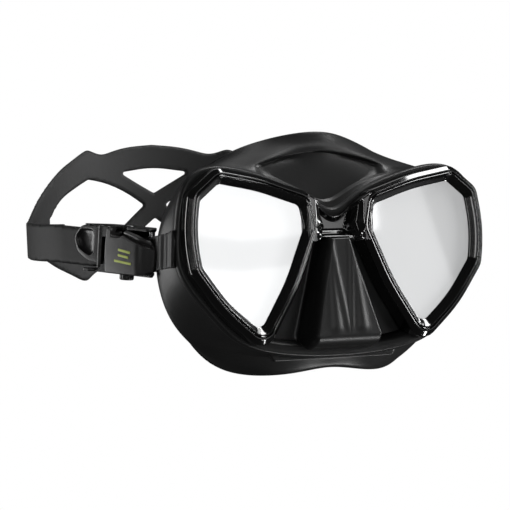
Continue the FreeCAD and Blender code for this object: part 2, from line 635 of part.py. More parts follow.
for item in doc.Objects:
    if "Invalid" in item.State or "Error" in item.State:
        raise RuntimeError("%s failed: %s" % (item.Label, item.State))
os.makedirs("parts", exist_ok=True)
for piece in subparts:
    shape = piece.Shape
    if shape.isNull() or not shape.isValid() or shape.Volume <= 0:
        raise RuntimeError("%s has no valid solid" % piece.Label)
    print("%-22s %9.1f mm3 %d solid(s)" % (piece.Label, shape.Volume, len(shape.Solids)))
for piece in subparts:
    piece.Shape.exportStep("parts/%s.step" % piece.Label)
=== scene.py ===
"""Diving mask: soft skirt, polished mouldings, buckles and strap, built round the CAD frame."""

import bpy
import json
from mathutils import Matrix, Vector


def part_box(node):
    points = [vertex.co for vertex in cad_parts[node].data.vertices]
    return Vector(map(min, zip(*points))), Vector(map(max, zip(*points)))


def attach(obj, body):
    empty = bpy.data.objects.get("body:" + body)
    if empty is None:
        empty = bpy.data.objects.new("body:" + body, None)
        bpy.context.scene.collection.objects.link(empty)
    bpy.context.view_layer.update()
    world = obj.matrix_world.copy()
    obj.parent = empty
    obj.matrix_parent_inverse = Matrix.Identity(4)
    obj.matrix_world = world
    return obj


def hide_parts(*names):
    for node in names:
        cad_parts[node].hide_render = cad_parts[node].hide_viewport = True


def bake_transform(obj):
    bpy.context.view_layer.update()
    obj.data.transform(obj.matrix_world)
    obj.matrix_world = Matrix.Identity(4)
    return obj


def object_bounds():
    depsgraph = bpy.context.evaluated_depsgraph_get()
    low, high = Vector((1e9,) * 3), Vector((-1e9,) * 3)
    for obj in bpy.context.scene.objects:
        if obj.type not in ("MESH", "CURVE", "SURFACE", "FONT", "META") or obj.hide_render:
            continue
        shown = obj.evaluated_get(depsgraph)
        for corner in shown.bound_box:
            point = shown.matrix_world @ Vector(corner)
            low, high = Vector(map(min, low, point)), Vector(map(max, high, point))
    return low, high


bl_info = {
    "name": "Diving mask",
    "version": (1, 0, 0),
    "blender": (4, 5, 0),
    "location": "3D View > Sidebar > Diving mask",
    "description": "Builds a diving mask's skirt, rims, lenses, buckles and strap around its packed frame",
    "category": "Add Mesh",
}

import json
import math

import bmesh
import bpy
import numpy as np
from bpy.props import FloatProperty, FloatVectorProperty, PointerProperty
from mathutils import Matrix

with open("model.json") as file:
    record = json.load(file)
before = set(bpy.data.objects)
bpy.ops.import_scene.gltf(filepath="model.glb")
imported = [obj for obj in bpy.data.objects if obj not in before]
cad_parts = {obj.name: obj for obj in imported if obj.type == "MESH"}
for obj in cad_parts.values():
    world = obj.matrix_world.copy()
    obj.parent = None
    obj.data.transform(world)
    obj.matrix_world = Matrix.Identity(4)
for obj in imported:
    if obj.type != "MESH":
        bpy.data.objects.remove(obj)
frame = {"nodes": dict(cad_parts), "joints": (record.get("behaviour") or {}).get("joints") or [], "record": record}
CAD_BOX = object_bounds()
MM = 0.001  # lengths below are millimetres, and a mesh is in metres

# ---------------------------------------------------------------------------------------------------
# Places read from the frame
# ---------------------------------------------------------------------------------------------------


def span(node, axis):
    """Lowest and highest coordinate of a CAD node along one axis, in millimetres."""
    low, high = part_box(node)
    return low[axis] / MM, high[axis] / MM


GLASS_FRONT, GLASS_BACK = span("lens_left", 1)
LAND, FRAME_BACK = span("frame", 1)
SWIVEL = next(joint for joint in frame["joints"] if joint["name"] == "swivel_right")
PIN = np.array(SWIVEL["pos_m"]) / MM
UPWARD = np.array(SWIVEL["axis"]) / np.linalg.norm(SWIVEL["axis"])
PITCH = math.acos(UPWARD[2])
LEVEL_BACK = -np.array([UPWARD[0], UPWARD[1], 0.0]) / math.hypot(UPWARD[0], UPWARD[1])
OUTWARD = np.array([-LEVEL_BACK[1], LEVEL_BACK[0], 0.0])
BACKWARD = np.cross(OUTWARD, UPWARD)
TAB_YAW = math.radians(1.3)  # the tab lies along the skirt's side, not along the buckle
TAB_BACK = np.array([-math.sin(TAB_YAW), math.cos(TAB_YAW), 0.0])
TAB_OUT = np.array([-TAB_BACK[1], TAB_BACK[0], 0.0])

# One lens opening seen from the front: x outward from the middle, z, corner radius.
GLASS = (
    (19.5, 18.4, 3.0), (40.0, 24.9, 90.0), (58.9, 28.3, 3.5), (68.0, 21.2, 3.5), (70.6, 6.0, 60.0),
    (68.4, -7.3, 5.0), (56.6, -23.0, 70.0), (41.5, -35.6, 4.0), (27.7, -14.4, 90.0), (17.4, 8.7, 5.0),
)
BOW_RADIUS = 20.0   # corners rounder than this only bow a side, and follow an offset exactly
CORNER_SHARE = 0.6  # how much of an offset the other corners take up, so an outer edge is softer

# ---------------------------------------------------------------------------------------------------
# Curves and surfaces as arrays
# ---------------------------------------------------------------------------------------------------


def unit(vectors):
    """Rows scaled to length one."""
    return vectors / np.linalg.norm(vectors, axis=-1, keepdims=True)


def smooth_step(low, high, value):
    """0 below low, 1 above high, and the cubic 3t^2 - 2t^3 between."""
    t = np.clip((value - low) / (high - low), 0, 1)
    return t * t * (3 - 2 * t)


def outline(corners, grow=0.0, arc=7):
    """A clockwise polygon with round corners, moved outward by grow.

    Each corner is an arc tangent to both sides; each side has points near both ends and in its middle.
    """
    table = np.array(corners, float)
    xy, radius = table[:, :2], table[:, 2] + grow * np.where(table[:, 2] > BOW_RADIUS, 1.0, CORNER_SHARE)
    along = unit(np.roll(xy, -1, 0) - xy)
    base = xy + np.stack([-along[:, 1], along[:, 0]], 1) * grow
    p, u, q, v = np.roll(base, 1, 0), np.roll(along, 1, 0), base, along
    cross = u[:, 0] * v[:, 1] - u[:, 1] * v[:, 0]
    step = ((q - p)[:, 0] * v[:, 1] - (q - p)[:, 1] * v[:, 0]) / cross
    corner = p + u * step[:, None]
    turn = np.arccos(np.clip((u * v).sum(1), -1, 1))
    middle = -unit(v - u)
    centre = corner - middle * (radius / np.cos(turn / 2))[:, None]
    angle = np.linspace(-0.5, 0.5, arc)[None, :] * (turn * np.sign(cross))[:, None]
    across = np.stack([-middle[:, 1], middle[:, 0]], 1)
    arcs = centre[:, None] + radius[:, None, None] * (
        middle[:, None] * np.cos(angle)[..., None] + across[:, None] * np.sin(angle)[..., None])
    share = np.array([0.04, 0.3, 0.7, 0.96])[None, :, None]
    sides = arcs[:, -1:] * (1 - share) + np.roll(arcs, -1, 0)[:, :1] * share
    return np.concatenate([arcs, sides], 1).reshape(-1, 2)


def soften(profile, closed=True, steps=4):
    """A polyline of (a, b, radius) whose corners are quadratic curves, with a support point beside each."""
    points = np.array([row[:2] for row in profile], float)
    radius = np.array([row[2] for row in profile], float)
    before, after = np.roll(points, 1, 0) - points, np.roll(points, -1, 0) - points
    room = 0.45 * np.minimum(np.linalg.norm(before, axis=1), np.linalg.norm(after, axis=1))
    reach = np.minimum(radius, room)[:, None]
    a, b = points + unit(before) * reach, points + unit(after) * reach
    t = np.linspace(0, 1, steps)[None, :, None]
    bends = (1 - t) ** 2 * a[:, None] + 2 * t * (1 - t) * points[:, None] + t ** 2 * b[:, None]
    guard = np.minimum(0.06 + 0.1 * reach, room[:, None] * 0.3)
    rows = np.concatenate([(a + unit(before) * guard)[:, None], bends, (b + unit(after) * guard)[:, None]], 1)
    if not closed:
        rows[0], rows[-1] = points[0], points[-1]
    return rows.reshape(-1, 2)


def spline_weights(count, places, closed):
    """Matrix that reads a smooth curve with continuous bend through count knots at the given places."""
    size = np.arange(count)
    system, right = np.eye(count) * 4.0, np.zeros((count, count))
    ahead, behind = (size + 1) % count, (size - 1) % count
    system[size, ahead] += 1
    system[size, behind] += 1
    right[size, ahead] += 3
    right[size, behind] -= 3
    if not closed:
        system[[0, -1]], right[[0, -1]] = 0, 0
        system[0, 0], system[0, 1], right[0, 1], right[0, 0] = 2, 1, 3, -3
        system[-1, -1], system[-1, -2], right[-1, -1], right[-1, -2] = 2, 1, 3, -3
    slopes = np.linalg.solve(system, right)
    first = np.floor(places).astype(int)
    if not closed:
        first = np.minimum(first, count - 2)
    f = (places - first)[:, None]
    values = np.eye(count)
    here, there = first % count, (first + 1) % count
    return ((2 * f ** 3 - 3 * f ** 2 + 1) * values[here] + (f ** 3 - 2 * f ** 2 + f) * slopes[here]
            + (3 * f ** 2 - 2 * f ** 3) * values[there] + (f ** 3 - f ** 2) * slopes[there])


def through(knots, places, closed=False):
    """A smooth curve through knots (first axis), read at places counted in knots."""
    knots = np.asarray(knots, float)
    weights = spline_weights(len(knots), np.asarray(places, float), closed)
    return np.tensordot(weights, knots, 1)


def contour(half, count):
    """A closed smooth loop through a half contour and its mirror image in x = 0."""
    half = np.array(half, float)
    other = half[-2:0:-1] * [-1, 1, 1]
    knots = np.concatenate([half, other])
    return through(knots, np.arange(count) * len(knots) / count, closed=True)


def swell(loop, amount):
    """A loop of (x, y, z) moved outward in x and z by amount along its own normal."""
    step = np.roll(loop, -1, 0) - np.roll(loop, 1, 0)
    normal = unit(np.stack([-step[:, 2], step[:, 0]], 1))
    moved = loop.copy()
    moved[:, [0, 2]] += normal * np.asarray(amount).reshape(-1, 1)
    return moved


def in_lens_plane(flat, depth):
    """Outline points (x, z) at a depth along y."""
    return np.stack([flat[:, 0], np.full(len(flat), depth), flat[:, 1]], 1)


def in_buckle(local):
    """Points in the buckle's frame (back, outward, up) placed on the wearer's right."""
    return PIN + local[..., :1] * BACKWARD + local[..., 1:2] * OUTWARD + local[..., 2:3] * UPWARD


def in_tab(local):
    """Points in the right tab's frame (back, outward, up) placed on the mask."""
    tilt_back = TAB_BACK * math.cos(PITCH) + np.array([0, 0, math.sin(PITCH)])
    tilt_up = np.cross(tilt_back, TAB_OUT)
    return PIN + local[..., :1] * tilt_back + local[..., 1:2] * TAB_OUT + local[..., 2:3] * tilt_up


class Shell:
    """Grid patches gathered into one mesh. A patch is rows by columns of points in millimetres."""

    def __init__(self):
        self.points, self.faces, self.count = [], [], 0

    def add(self, rows, columns_close=True, rows_close=False, caps=False):
        """Add one patch; caps closes the first and last row, each with a fan to its middle."""
        rows = np.asarray(rows, float)
        if caps:
            first, last = rows[:1].mean(1, keepdims=True), rows[-1:].mean(1, keepdims=True)
            shape = (1, rows.shape[1], 3)
            rows = np.concatenate([np.broadcast_to(first, shape), rows, np.broadcast_to(last, shape)])
        index = np.arange(rows.shape[0] * rows.shape[1]).reshape(rows.shape[:2]) + self.count
        if columns_close:
            index = np.concatenate([index, index[:, :1]], 1)
        if rows_close:
            index = np.concatenate([index, index[:1]], 0)
        quads = np.stack([index[:-1, :-1], index[:-1, 1:], index[1:, 1:], index[1:, :-1]], -1)
        self.points.append(rows.reshape(-1, 3))
        self.faces.append(quads.reshape(-1, 4))
        self.count += rows.shape[0] * rows.shape[1]
        return self

    def build(self, name, finish, body, slot, replaces, mirror=False, flat_faces=False):
        """Make the object, ride it on its body and hide the CAD parts it replaces."""
        piece = make_piece(name, np.concatenate(self.points), np.concatenate(self.faces), finish, mirror)
        if flat_faces:
            modifier = piece.modifiers.new("Even normals", "WEIGHTED_NORMAL")
            modifier.weight = 60
        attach(piece, body)
        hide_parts(*replaces)


def make_piece(name, points, faces, finish, mirror=False, merge=0.002, crease_seams=False):
    """An object at the origin from points in millimetres: doubles merged, holes filled, faces outward."""
    if mirror:
        points = points * [-1, 1, 1]
    mesh = bpy.data.meshes.new(name)
    mesh.from_pydata((points * MM).tolist(), [], faces.tolist())
    work = bmesh.new()
    work.from_mesh(mesh)
    bmesh.ops.remove_doubles(work, verts=work.verts, dist=merge * MM)
    bmesh.ops.dissolve_degenerate(work, edges=work.edges, dist=1e-7)
    seams = [edge for edge in work.edges if edge.is_boundary]
    bmesh.ops.holes_fill(work, edges=seams, sides=0)
    bmesh.ops.recalc_face_normals(work, faces=work.faces)
    for edge in seams:
        edge.smooth = not crease_seams
    work.to_mesh(mesh)
    work.free()
    mesh.polygons.foreach_set("use_smooth", np.ones(len(mesh.polygons), bool))
    mesh.materials.append(finish)
    piece = bpy.data.objects.new(name, mesh)
    bpy.context.scene.collection.objects.link(piece)
    return piece


def plate_rows(corners, rows, place):
    """Rows for a plate or boss: each (grow, height) row is the outline at that offset and height."""
    return np.stack([place(outline(corners, grow), height) for grow, height in rows])


def on_side(flat, height):
    """Buckle outline points (back, up) at an outward height."""
    return in_buckle(np.stack([flat[:, 0], np.full(len(flat), height), flat[:, 1]], 1))


def on_top(flat, height):
    """Buckle outline points (back, outward) at a height along the pin."""
    return in_buckle(np.stack([flat[:, 0], flat[:, 1], np.full(len(flat), height)], 1))


def turned(profile, centre, around, ribs=0, rib_depth=0.0):
    """A surface of revolution along the pin: (radius, height) rows turned round centre (back, outward)."""
    profile = np.asarray(profile, float)
    angle = np.linspace(0, 2 * math.pi, around, endpoint=False)
    wave = 1 - rib_depth * (0.5 - 0.5 * np.cos(ribs * angle)) ** 2
    radius = profile[:, :1] * wave[None, :]
    height = np.broadcast_to(profile[:, 1:2], radius.shape)
    back, outward = centre[0] + radius * np.cos(angle), centre[1] + radius * np.sin(angle)
    return in_buckle(np.stack([back, outward, height], -1))


# ---------------------------------------------------------------------------------------------------
# Finishes
# ---------------------------------------------------------------------------------------------------


class Socket:
    """A shader socket that takes part in arithmetic; each operation adds its Math node."""

    def __init__(self, finish, link):
        self.finish, self.link = finish, link

    def math(self, operation, *values):
        return self.finish.node("ShaderNodeMath", {"operation": operation}, *values)

    def __add__(self, other):
        return self.math("ADD", self, other)

    def __mul__(self, other):
        return self.math("MULTIPLY", self, other)

    def __sub__(self, other):
        return self.math("SUBTRACT", self, other)

    def __rsub__(self, other):
        return self.math("SUBTRACT", other, self)

    __radd__, __rmul__ = __add__, __mul__


class Finish:
    """One material's node tree, with the Object coordinates ready as .place."""

    def __init__(self, name):
        self.material = bpy.data.materials.new(name)
        self.material.use_nodes = True
        self.tree = self.material.node_tree
        self.tree.nodes.clear()
        self.output = self.tree.nodes.new("ShaderNodeOutputMaterial")
        self.place = self.node("ShaderNodeTexCoord", {}, out="Object")

    def node(self, kind, settings, *values, out=0, **named):
        """Add a node: settings first, then values or links by position or by socket name."""
        node = self.tree.nodes.new(kind)
        for key, value in settings.items():
            if key == "stops":
                self.set_stops(node.color_ramp, value)
            else:
                setattr(node, key, value)
        for socket, value in list(zip(node.inputs, values)) + [
                (node.inputs[key.replace("_", " ")], value) for key, value in named.items()]:
            if isinstance(value, Socket):
                self.tree.links.new(value.link, socket)
            else:
                socket.default_value = value
        return Socket(self, node.outputs[out])

    @staticmethod
    def set_stops(ramp, stops):
        """A grey ramp from (position, brightness) pairs."""
        ramp.elements[0].position, ramp.elements[1].position = stops[0][0], stops[-1][0]
        for position, _ in stops[1:-1]:
            ramp.elements.new(position)
        for element, (_, grey) in zip(ramp.elements, stops):
            element.color = (grey, grey, grey, 1)

    def noise(self, scale, detail=3.0, roughness=0.5, stretch=None):
        """Noise on the Object coordinates, scale in features per metre."""
        place = self.place
        if stretch:
            place = self.node("ShaderNodeMapping", {}, place, Scale=stretch)
        return self.node("ShaderNodeTexNoise", {}, Vector=place, Scale=scale, Detail=detail,
                         Roughness=roughness)

    def mix(self, factor, first, second):
        """A colour between two colours."""
        node = self.tree.nodes.new("ShaderNodeMix")
        node.data_type = "RGBA"
        for socket, value in ((node.inputs[0], factor), (node.inputs[6], first), (node.inputs[7], second)):
            if isinstance(value, Socket):
                self.tree.links.new(value.link, socket)
            else:
                socket.default_value = (*value, 1.0) if isinstance(value, tuple) else value
        return Socket(self, node.outputs[2])

    def bump(self, height, distance, strength=1.0, under=None):
        """A bump of height times distance metres, laid over another bump if given."""
        named = {"Height": height, "Distance": distance, "Strength": strength}
        if under:
            named["Normal"] = under
        return self.node("ShaderNodeBump", {}, **named)

    def surface(self, **named):
        """A Principled surface wired to the output."""
        shader = self.node("ShaderNodeBsdfPrincipled", {}, **named)
        self.tree.links.new(shader.link, self.output.inputs["Surface"])
        return self.material


def grey(level, warm=0.0):
    """A neutral colour, a little bluer for a negative warm."""
    return (level * (1 + warm), level, level * (1 - warm))


def moulded_silicone(name, level, roughness, grain=1.0):
    """Satin silicone: dull cloudy colour, fine moulding grain, smoother where it is handled."""
    f = Finish(name)
    cloud = f.noise(38.0, 4.0, 0.55)
    fine = f.noise(2600.0, 2.0, 0.6)
    speck = f.noise(620.0, 3.0, 0.5)
    colour = f.mix(cloud, grey(level * 0.75, -0.02), grey(level * 1.3, -0.01))
    rough = cloud * 0.10 + speck * 0.06 + (roughness - 0.08)
    normal = f.bump(fine, 0.00003 * grain, 0.5, f.bump(speck, 0.00006 * grain, 0.4))
    return f.surface(Base_Color=colour, Roughness=rough, Normal=normal, Specular_IOR_Level=0.36)


def polished_moulding(name, level, roughness):
    """Injection-moulded gloss: near-black, very slight flow ripple and faint handling haze."""
    f = Finish(name)
    ripple = f.noise(55.0, 1.0, 0.4)
    haze = f.noise(300.0, 4.0, 0.65)
    colour = f.mix(haze, grey(level * 0.8), grey(level * 1.3, -0.03))
    rough = haze * 0.05 + (roughness - 0.02)
    normal = f.bump(ripple, 0.0002, 0.03)
    return f.surface(Base_Color=colour, Roughness=rough, Normal=normal, Specular_IOR_Level=0.5, IOR=1.75)


def textured_plastic(name, colour, roughness, grain=1.0):
    """Spark-eroded satin plastic: a fine even grain with slight colour variation."""
    f = Finish(name)
    cells = f.node("ShaderNodeTexVoronoi", {}, Vector=f.place, Scale=2200.0)
    cloud = f.noise(90.0, 4.0, 0.6)
    shade = f.mix(cloud, tuple(c * 0.8 for c in colour), tuple(c * 1.2 for c in colour))
    rough = cloud * 0.12 + (roughness - 0.06)
    normal = f.bump(cells, 0.00004 * grain, 0.5)
    return f.surface(Base_Color=shade, Roughness=rough, Normal=normal)


def drawn_steel(name):
    """Plain stainless steel with fine lengthwise drawing lines."""
    f = Finish(name)
    lines = f.noise(900.0, 3.0, 0.6, stretch=(1.0, 1.0, 0.06))
    colour = f.mix(lines, grey(0.42), grey(0.60, -0.01))
    return f.surface(Base_Color=colour, Roughness=lines * 0.2 + 0.18, Metallic=1.0,
                     Normal=f.bump(lines, 0.00002, 0.4))


def pale_glass(name):
    """Tempered glass with a pale mirror coating: half white, half mirror, very slightly uneven."""
    f = Finish(name)
    cloud = f.noise(30.0, 2.0, 0.5)
    colour = f.mix(cloud, (0.84, 0.85, 0.86), (0.88, 0.885, 0.89))
    return f.surface(Base_Color=colour, Roughness=cloud * 0.02 + 0.03, Metallic=0.5, Alpha=0.97, IOR=1.5,
                     Coat_Weight=0.3, Coat_Roughness=0.02)


FINISHES = {
    "skirt_silicone": lambda p: moulded_silicone("Skirt silicone", p.skirt_grey, 0.40),
    "frame_gloss": lambda p: polished_moulding("Frame gloss", 0.004, 0.07),
    "bezel_gloss": lambda p: polished_moulding("Bezel gloss", 0.004, 0.10),
    "lens_glass": lambda p: pale_glass("Lens glass"),
    "strap_silicone": lambda p: moulded_silicone("Strap silicone", p.strap_grey, 0.62, 1.6),
    "buckle_plastic": lambda p: textured_plastic("Buckle plastic", grey(0.010), 0.30),
    "cover_plastic": lambda p: textured_plastic("Cover plastic", grey(0.020), 0.36),
    "button_plastic": lambda p: textured_plastic("Button plastic", grey(0.009), 0.26),
    "emblem_lime": lambda p: textured_plastic("Emblem lime", tuple(p.emblem_colour), 0.5, 0.6),
    "roller_plastic": lambda p: textured_plastic("Roller plastic", grey(0.03), 0.45),
    "pin_steel": lambda p: drawn_steel("Pin steel"),
}


def finish_of(slot):
    """The material of a record slot, made on first use."""
    name = "slot " + slot
    if name not in bpy.data.materials:
        material = FINISHES[slot](bpy.context.scene.diving_mask)
        material.name = name
    return bpy.data.materials[name]


# ---------------------------------------------------------------------------------------------------
# Skirt
# ---------------------------------------------------------------------------------------------------

# Half contours from the top middle round the wearer's left to the bottom middle: x, y, z.
FRONT_EDGE = (
    (0, -16.5, 15.5), (17, -16.5, 24), (42, -16.5, 32.5), (60, -16.5, 34.5), (72, -16.5, 27),
    (76.5, -16.5, 8), (75, -16.5, -10), (62, -16.5, -27), (44, -16.5, -41), (16, -16.5, -46),
    (0, -16.5, -46.5),
)
FLARE = (
    (0, -14.5, 33), (20, -13.5, 37), (43, -10, 36), (59, -8, 34.5), (71.6, -7, 23), (78.3, -5.5, 8),
    (77.4, -1.5, -12), (67, 1, -32.8), (46, -6, -44), (17, -14.5, -48.5), (0, -15, -49),
)
SEAL_EDGE = (
    (0, -10.6, 51.7), (20, -4.5, 49.6), (38, 1.5, 44), (52, 2.8, 36), (65, 6, 24), (71, 8.5, 6), (71, 8, -14),
    (59.2, 7, -39.2), (42, 1.5, -53), (20, -10, -54.9), (0, -12.5, -53),
)
LIP_EDGE = (
    (0, -6.5, 40), (17, -2, 39.5), (32, 4.5, 35), (44, 7, 29), (55, 10, 18.5), (60, 12.5, 4.5),
    (60, 12, -12), (50, 11, -27.5), (34, 6, -42), (14, -5, -43.5), (0, -7, -42.5),
)
AROUND = 400


def shifted(loop, grow, forward):
    """A loop moved outward by grow and forward by forward."""
    return swell(loop, grow) - np.array([0, 1, 0]) * forward


def skirt_wall(shell):
    """The wall from the lip round the frame, over the flare to the seal edge, the inturned lip and back.

    Rings of points are joined by a smooth curve from ring to ring, then the forehead panel is pushed in.
    """
    front, flare = contour(FRONT_EDGE, AROUND), contour(FLARE, AROUND)
    seal, lip = contour(SEAL_EDGE, AROUND), contour(LIP_EDGE, AROUND)
    middle = (front + flare) / 2
    high = (flare + seal) / 2
    outer = [shifted(front, -3.0, 4.0), shifted(front, 0.2, 4.6), shifted(front, 1.5, 4.0),
             shifted(front, 1.9, 2.4), shifted(front, 1.3, 0.8), swell(middle, 0.9), swell(flare, 0.3),
             swell(high, 0.8), swell(seal, -0.4), shifted(seal, 0.0, -0.7), shifted(seal, -1.2, -1.0),
             shifted((seal + lip) / 2, 0.6, -1.0), shifted(lip, 0.6, -0.1), shifted(lip, 0.0, 0.2),
             shifted(lip, 0.6, 0.7), shifted((seal + lip) / 2, 0.2, 0.3), shifted(seal, -3.0, 0.2),
             shifted(high, -1.8, -0.6), shifted(flare, -1.6, -1.6), shifted(front, -2.2, -2.0),
             shifted(front, -6.0, -1.0)]
    rings = np.stack(outer)
    places = np.concatenate([np.linspace(0, 4, 21)[:-1], np.linspace(4, 8, 61)[:-1],
                             np.linspace(8, 15, 43)[:-1], np.linspace(15, len(outer) - 1, 21)])
    rows = through(rings, places)
    rows = rows + forehead_push(rows, places)[..., None] * np.array([0, 1, 0.15])
    shell.add(rows, rows_close=True)
    return rows


def forehead_push(rows, places):
    """How far back each point of the wall moves: a panel sunk above the bridge, with a soft raised rim."""
    x, z = np.abs(rows[..., 0]), rows[..., 2]
    ridge = 42.5 - 0.0055 * x ** 2
    outside = (places < 4.6) | (places > 8.0)
    inside = smooth_step(0.9, -1.1, z - ridge) * smooth_step(34.0, 29.0, x) * smooth_step(17.0, 22.0, z)
    rim = np.exp(-((z - ridge - 2.4) / 1.9) ** 2) * smooth_step(44.0, 24.0, x)
    return np.where(outside[:, None], 0.0, 2.6 * inside - 0.5 * rim * (z > 20))


def nose_patch(shell):
    """The nose pocket between the rims: a tapering block whose rounded edges are quarter ellipses.

    Columns follow its half width a(z); the height is base + (front - base) * sqrt(1 - e^2), where e is
    the distance past the edge over the edge's width. Two pairs of soft ridges run down the front: one
    pair closes toward the middle, the other opens and widens; each is a Gaussian across the face.
    """
    side_edge, foot_edge = 3.6, 6.6
    head, foot = 3.6, -38.6
    tau = np.linspace(0, math.pi / 2, 15)
    z = np.concatenate([np.linspace(head, foot, 60)[:-1], foot - foot_edge * np.sin(tau),
                        np.linspace(foot - foot_edge, -49.0, 7)[1:]])[:, None]
    half = 6.0 + (0.4 - np.maximum(z, foot)) * 0.279
    reach = np.interp(-z, [-6.0, 17.8, 39.3, 50.0], [13.4, 23.4, 37.0, 30.0])
    plateau = np.linspace(0, 1, 61)[None, :-1] * (half - 1.6)
    rounding = (half - 1.6) + side_edge * np.sin(tau)[None, :]
    skirting = rounding[:, -1:] + (reach - rounding[:, -1:]) * np.linspace(0, 1, 12)[None, 1:]
    x = np.concatenate([plateau, rounding, skirting], 1)
    past_side = np.clip((x - half + 1.6) / side_edge, 0, None)
    past_foot = np.clip((foot - z) / foot_edge, 0, None)
    height = np.sqrt(np.clip(1 - past_side ** 2 - past_foot ** 2, 0, 1))
    down = np.clip(-(z + 1.0) / 34.0, 0, 1.1)
    tilt = -27.0 - 0.105 * (0.4 - z)
    closing = 0.5 * np.exp(-((x - 5.0 + 4.0 * down) / 1.5) ** 2)
    opening = (0.15 + 0.85 * down) * np.exp(-((x - 6.0 - 0.6 * down) / (0.8 + 2.2 * down)) ** 2)
    fade = smooth_step(-39.5, -34.5, z)
    base = -16.2
    y = base + (tilt - (closing + opening) * fade - base) * height
    right_half = np.stack([x, y, np.broadcast_to(z, x.shape)], -1)
    front = np.concatenate([right_half[:, :0:-1] * [-1, 1, 1], right_half], 1)
    back = front + [0, 2.2, 0]
    shell.add(np.concatenate([front, back[:, ::-1]], 1))


def lens_collars(shell):
    """A sealing collar behind each lens, swept round the lens outline."""
    profile = soften([(2.1, GLASS_BACK, 0.2), (2.1, FRAME_BACK + 2.5, 0.4), (0.6, FRAME_BACK + 2.5, 0.6),
                      (0.6, GLASS_BACK, 0.2)])
    for side in (1, -1):
        rows = np.stack([in_lens_plane(outline(GLASS, g), d) for g, d in profile]) * [side, 1, 1]
        shell.add(rows, rows_close=True)


TAB_LONG, TAB_RISE, TAB_HALF_THICK, EYE_RADIUS = 21.4, 4.2, 1.5, 3.0


def skirt_tabs(shell):
    """A strap tab on each side: a flat band with two flex grooves, a flange at its root and a round eye."""
    length = np.concatenate([np.linspace(-22.8, -18.4, 25), np.linspace(-18.1, -8.0, 60),
                             np.linspace(-7.5, EYE_RADIUS, 30)])
    ribs = sum(high * np.exp(-((length - place) / 1.0) ** 2) for high, place in ((0.5, -16.3), (0.5, -11.4)))
    grooves = 0.4 * sum(np.exp(-((length - place) / 0.8) ** 2) for place in (-13.8, -9.2))
    flange = 1.2 * smooth_step(-19.0, -20.2, length)
    eye = np.sqrt(np.clip(1 - (length / EYE_RADIUS) ** 2, 0, 1)) * (EYE_RADIUS - 0.1)
    outer = np.where(length < 0, np.maximum(TAB_HALF_THICK - grooves + ribs + flange, eye), eye)
    outer = np.maximum(outer, 0.05)
    rise = TAB_RISE * np.maximum(-length, 0) / TAB_LONG
    half_high = 7.6 + 0.5 * smooth_step(-18.0, -22.0, length)
    section = outline(((-1, -1, 0.22), (-1, 1, 0.22), (1, 1, 0.22), (1, -1, 0.22)), arc=6)
    local = np.stack([np.broadcast_to(length[:, None], (len(length), len(section))),
                      outer[:, None] * section[None, :, 0],
                      (rise - 1.0)[:, None] + half_high[:, None] * section[None, :, 1]], -1)
    rows = in_tab(local)
    shell.add(rows, caps=True)
    shell.add(rows * [-1, 1, 1], caps=True)


# ---------------------------------------------------------------------------------------------------
# Frame, bridge and bezels
# ---------------------------------------------------------------------------------------------------


def swept_ring(profile, side):
    """A closed (grow, depth) profile carried round one lens outline."""
    return np.stack([in_lens_plane(outline(GLASS, g), d) for g, d in profile]) * [side, 1, 1]


def rim_profile():
    """Cross-section of a rim: inner wall, narrow land, sloping lip, side wall and back ledge."""
    return soften([(3.95, LAND + 0.15, 0.1), (4.35, LAND, 0.15), (4.75, LAND, 0.25), (6.75, LAND + 1.9, 0.5),
                   (6.8, FRAME_BACK - 0.6, 0.5), (2.4, FRAME_BACK, 0.3), (2.4, GLASS_BACK + 0.2, 0.1),
                   (3.95, GLASS_BACK, 0.1)])


def bezel_profile():
    """Cross-section of a bezel: outer wall, land with a broken edge, and the funnel down to the glass."""
    back = GLASS_FRONT + 0.02
    return soften([(3.7, back, 0.05), (3.7, LAND + 0.3, 0.15), (3.3, LAND, 0.2), (2.95, LAND, 0.2),
                   (2.2, LAND + 0.75, 1.2), (0.35, back - 0.55, 0.6), (0.0, back - 0.25, 0.1),
                   (0.0, back, 0.02)])


BRIDGE_HALF, BRIDGE_FOOT = 12.6, 2.4  # half width between the lands, and lowest point


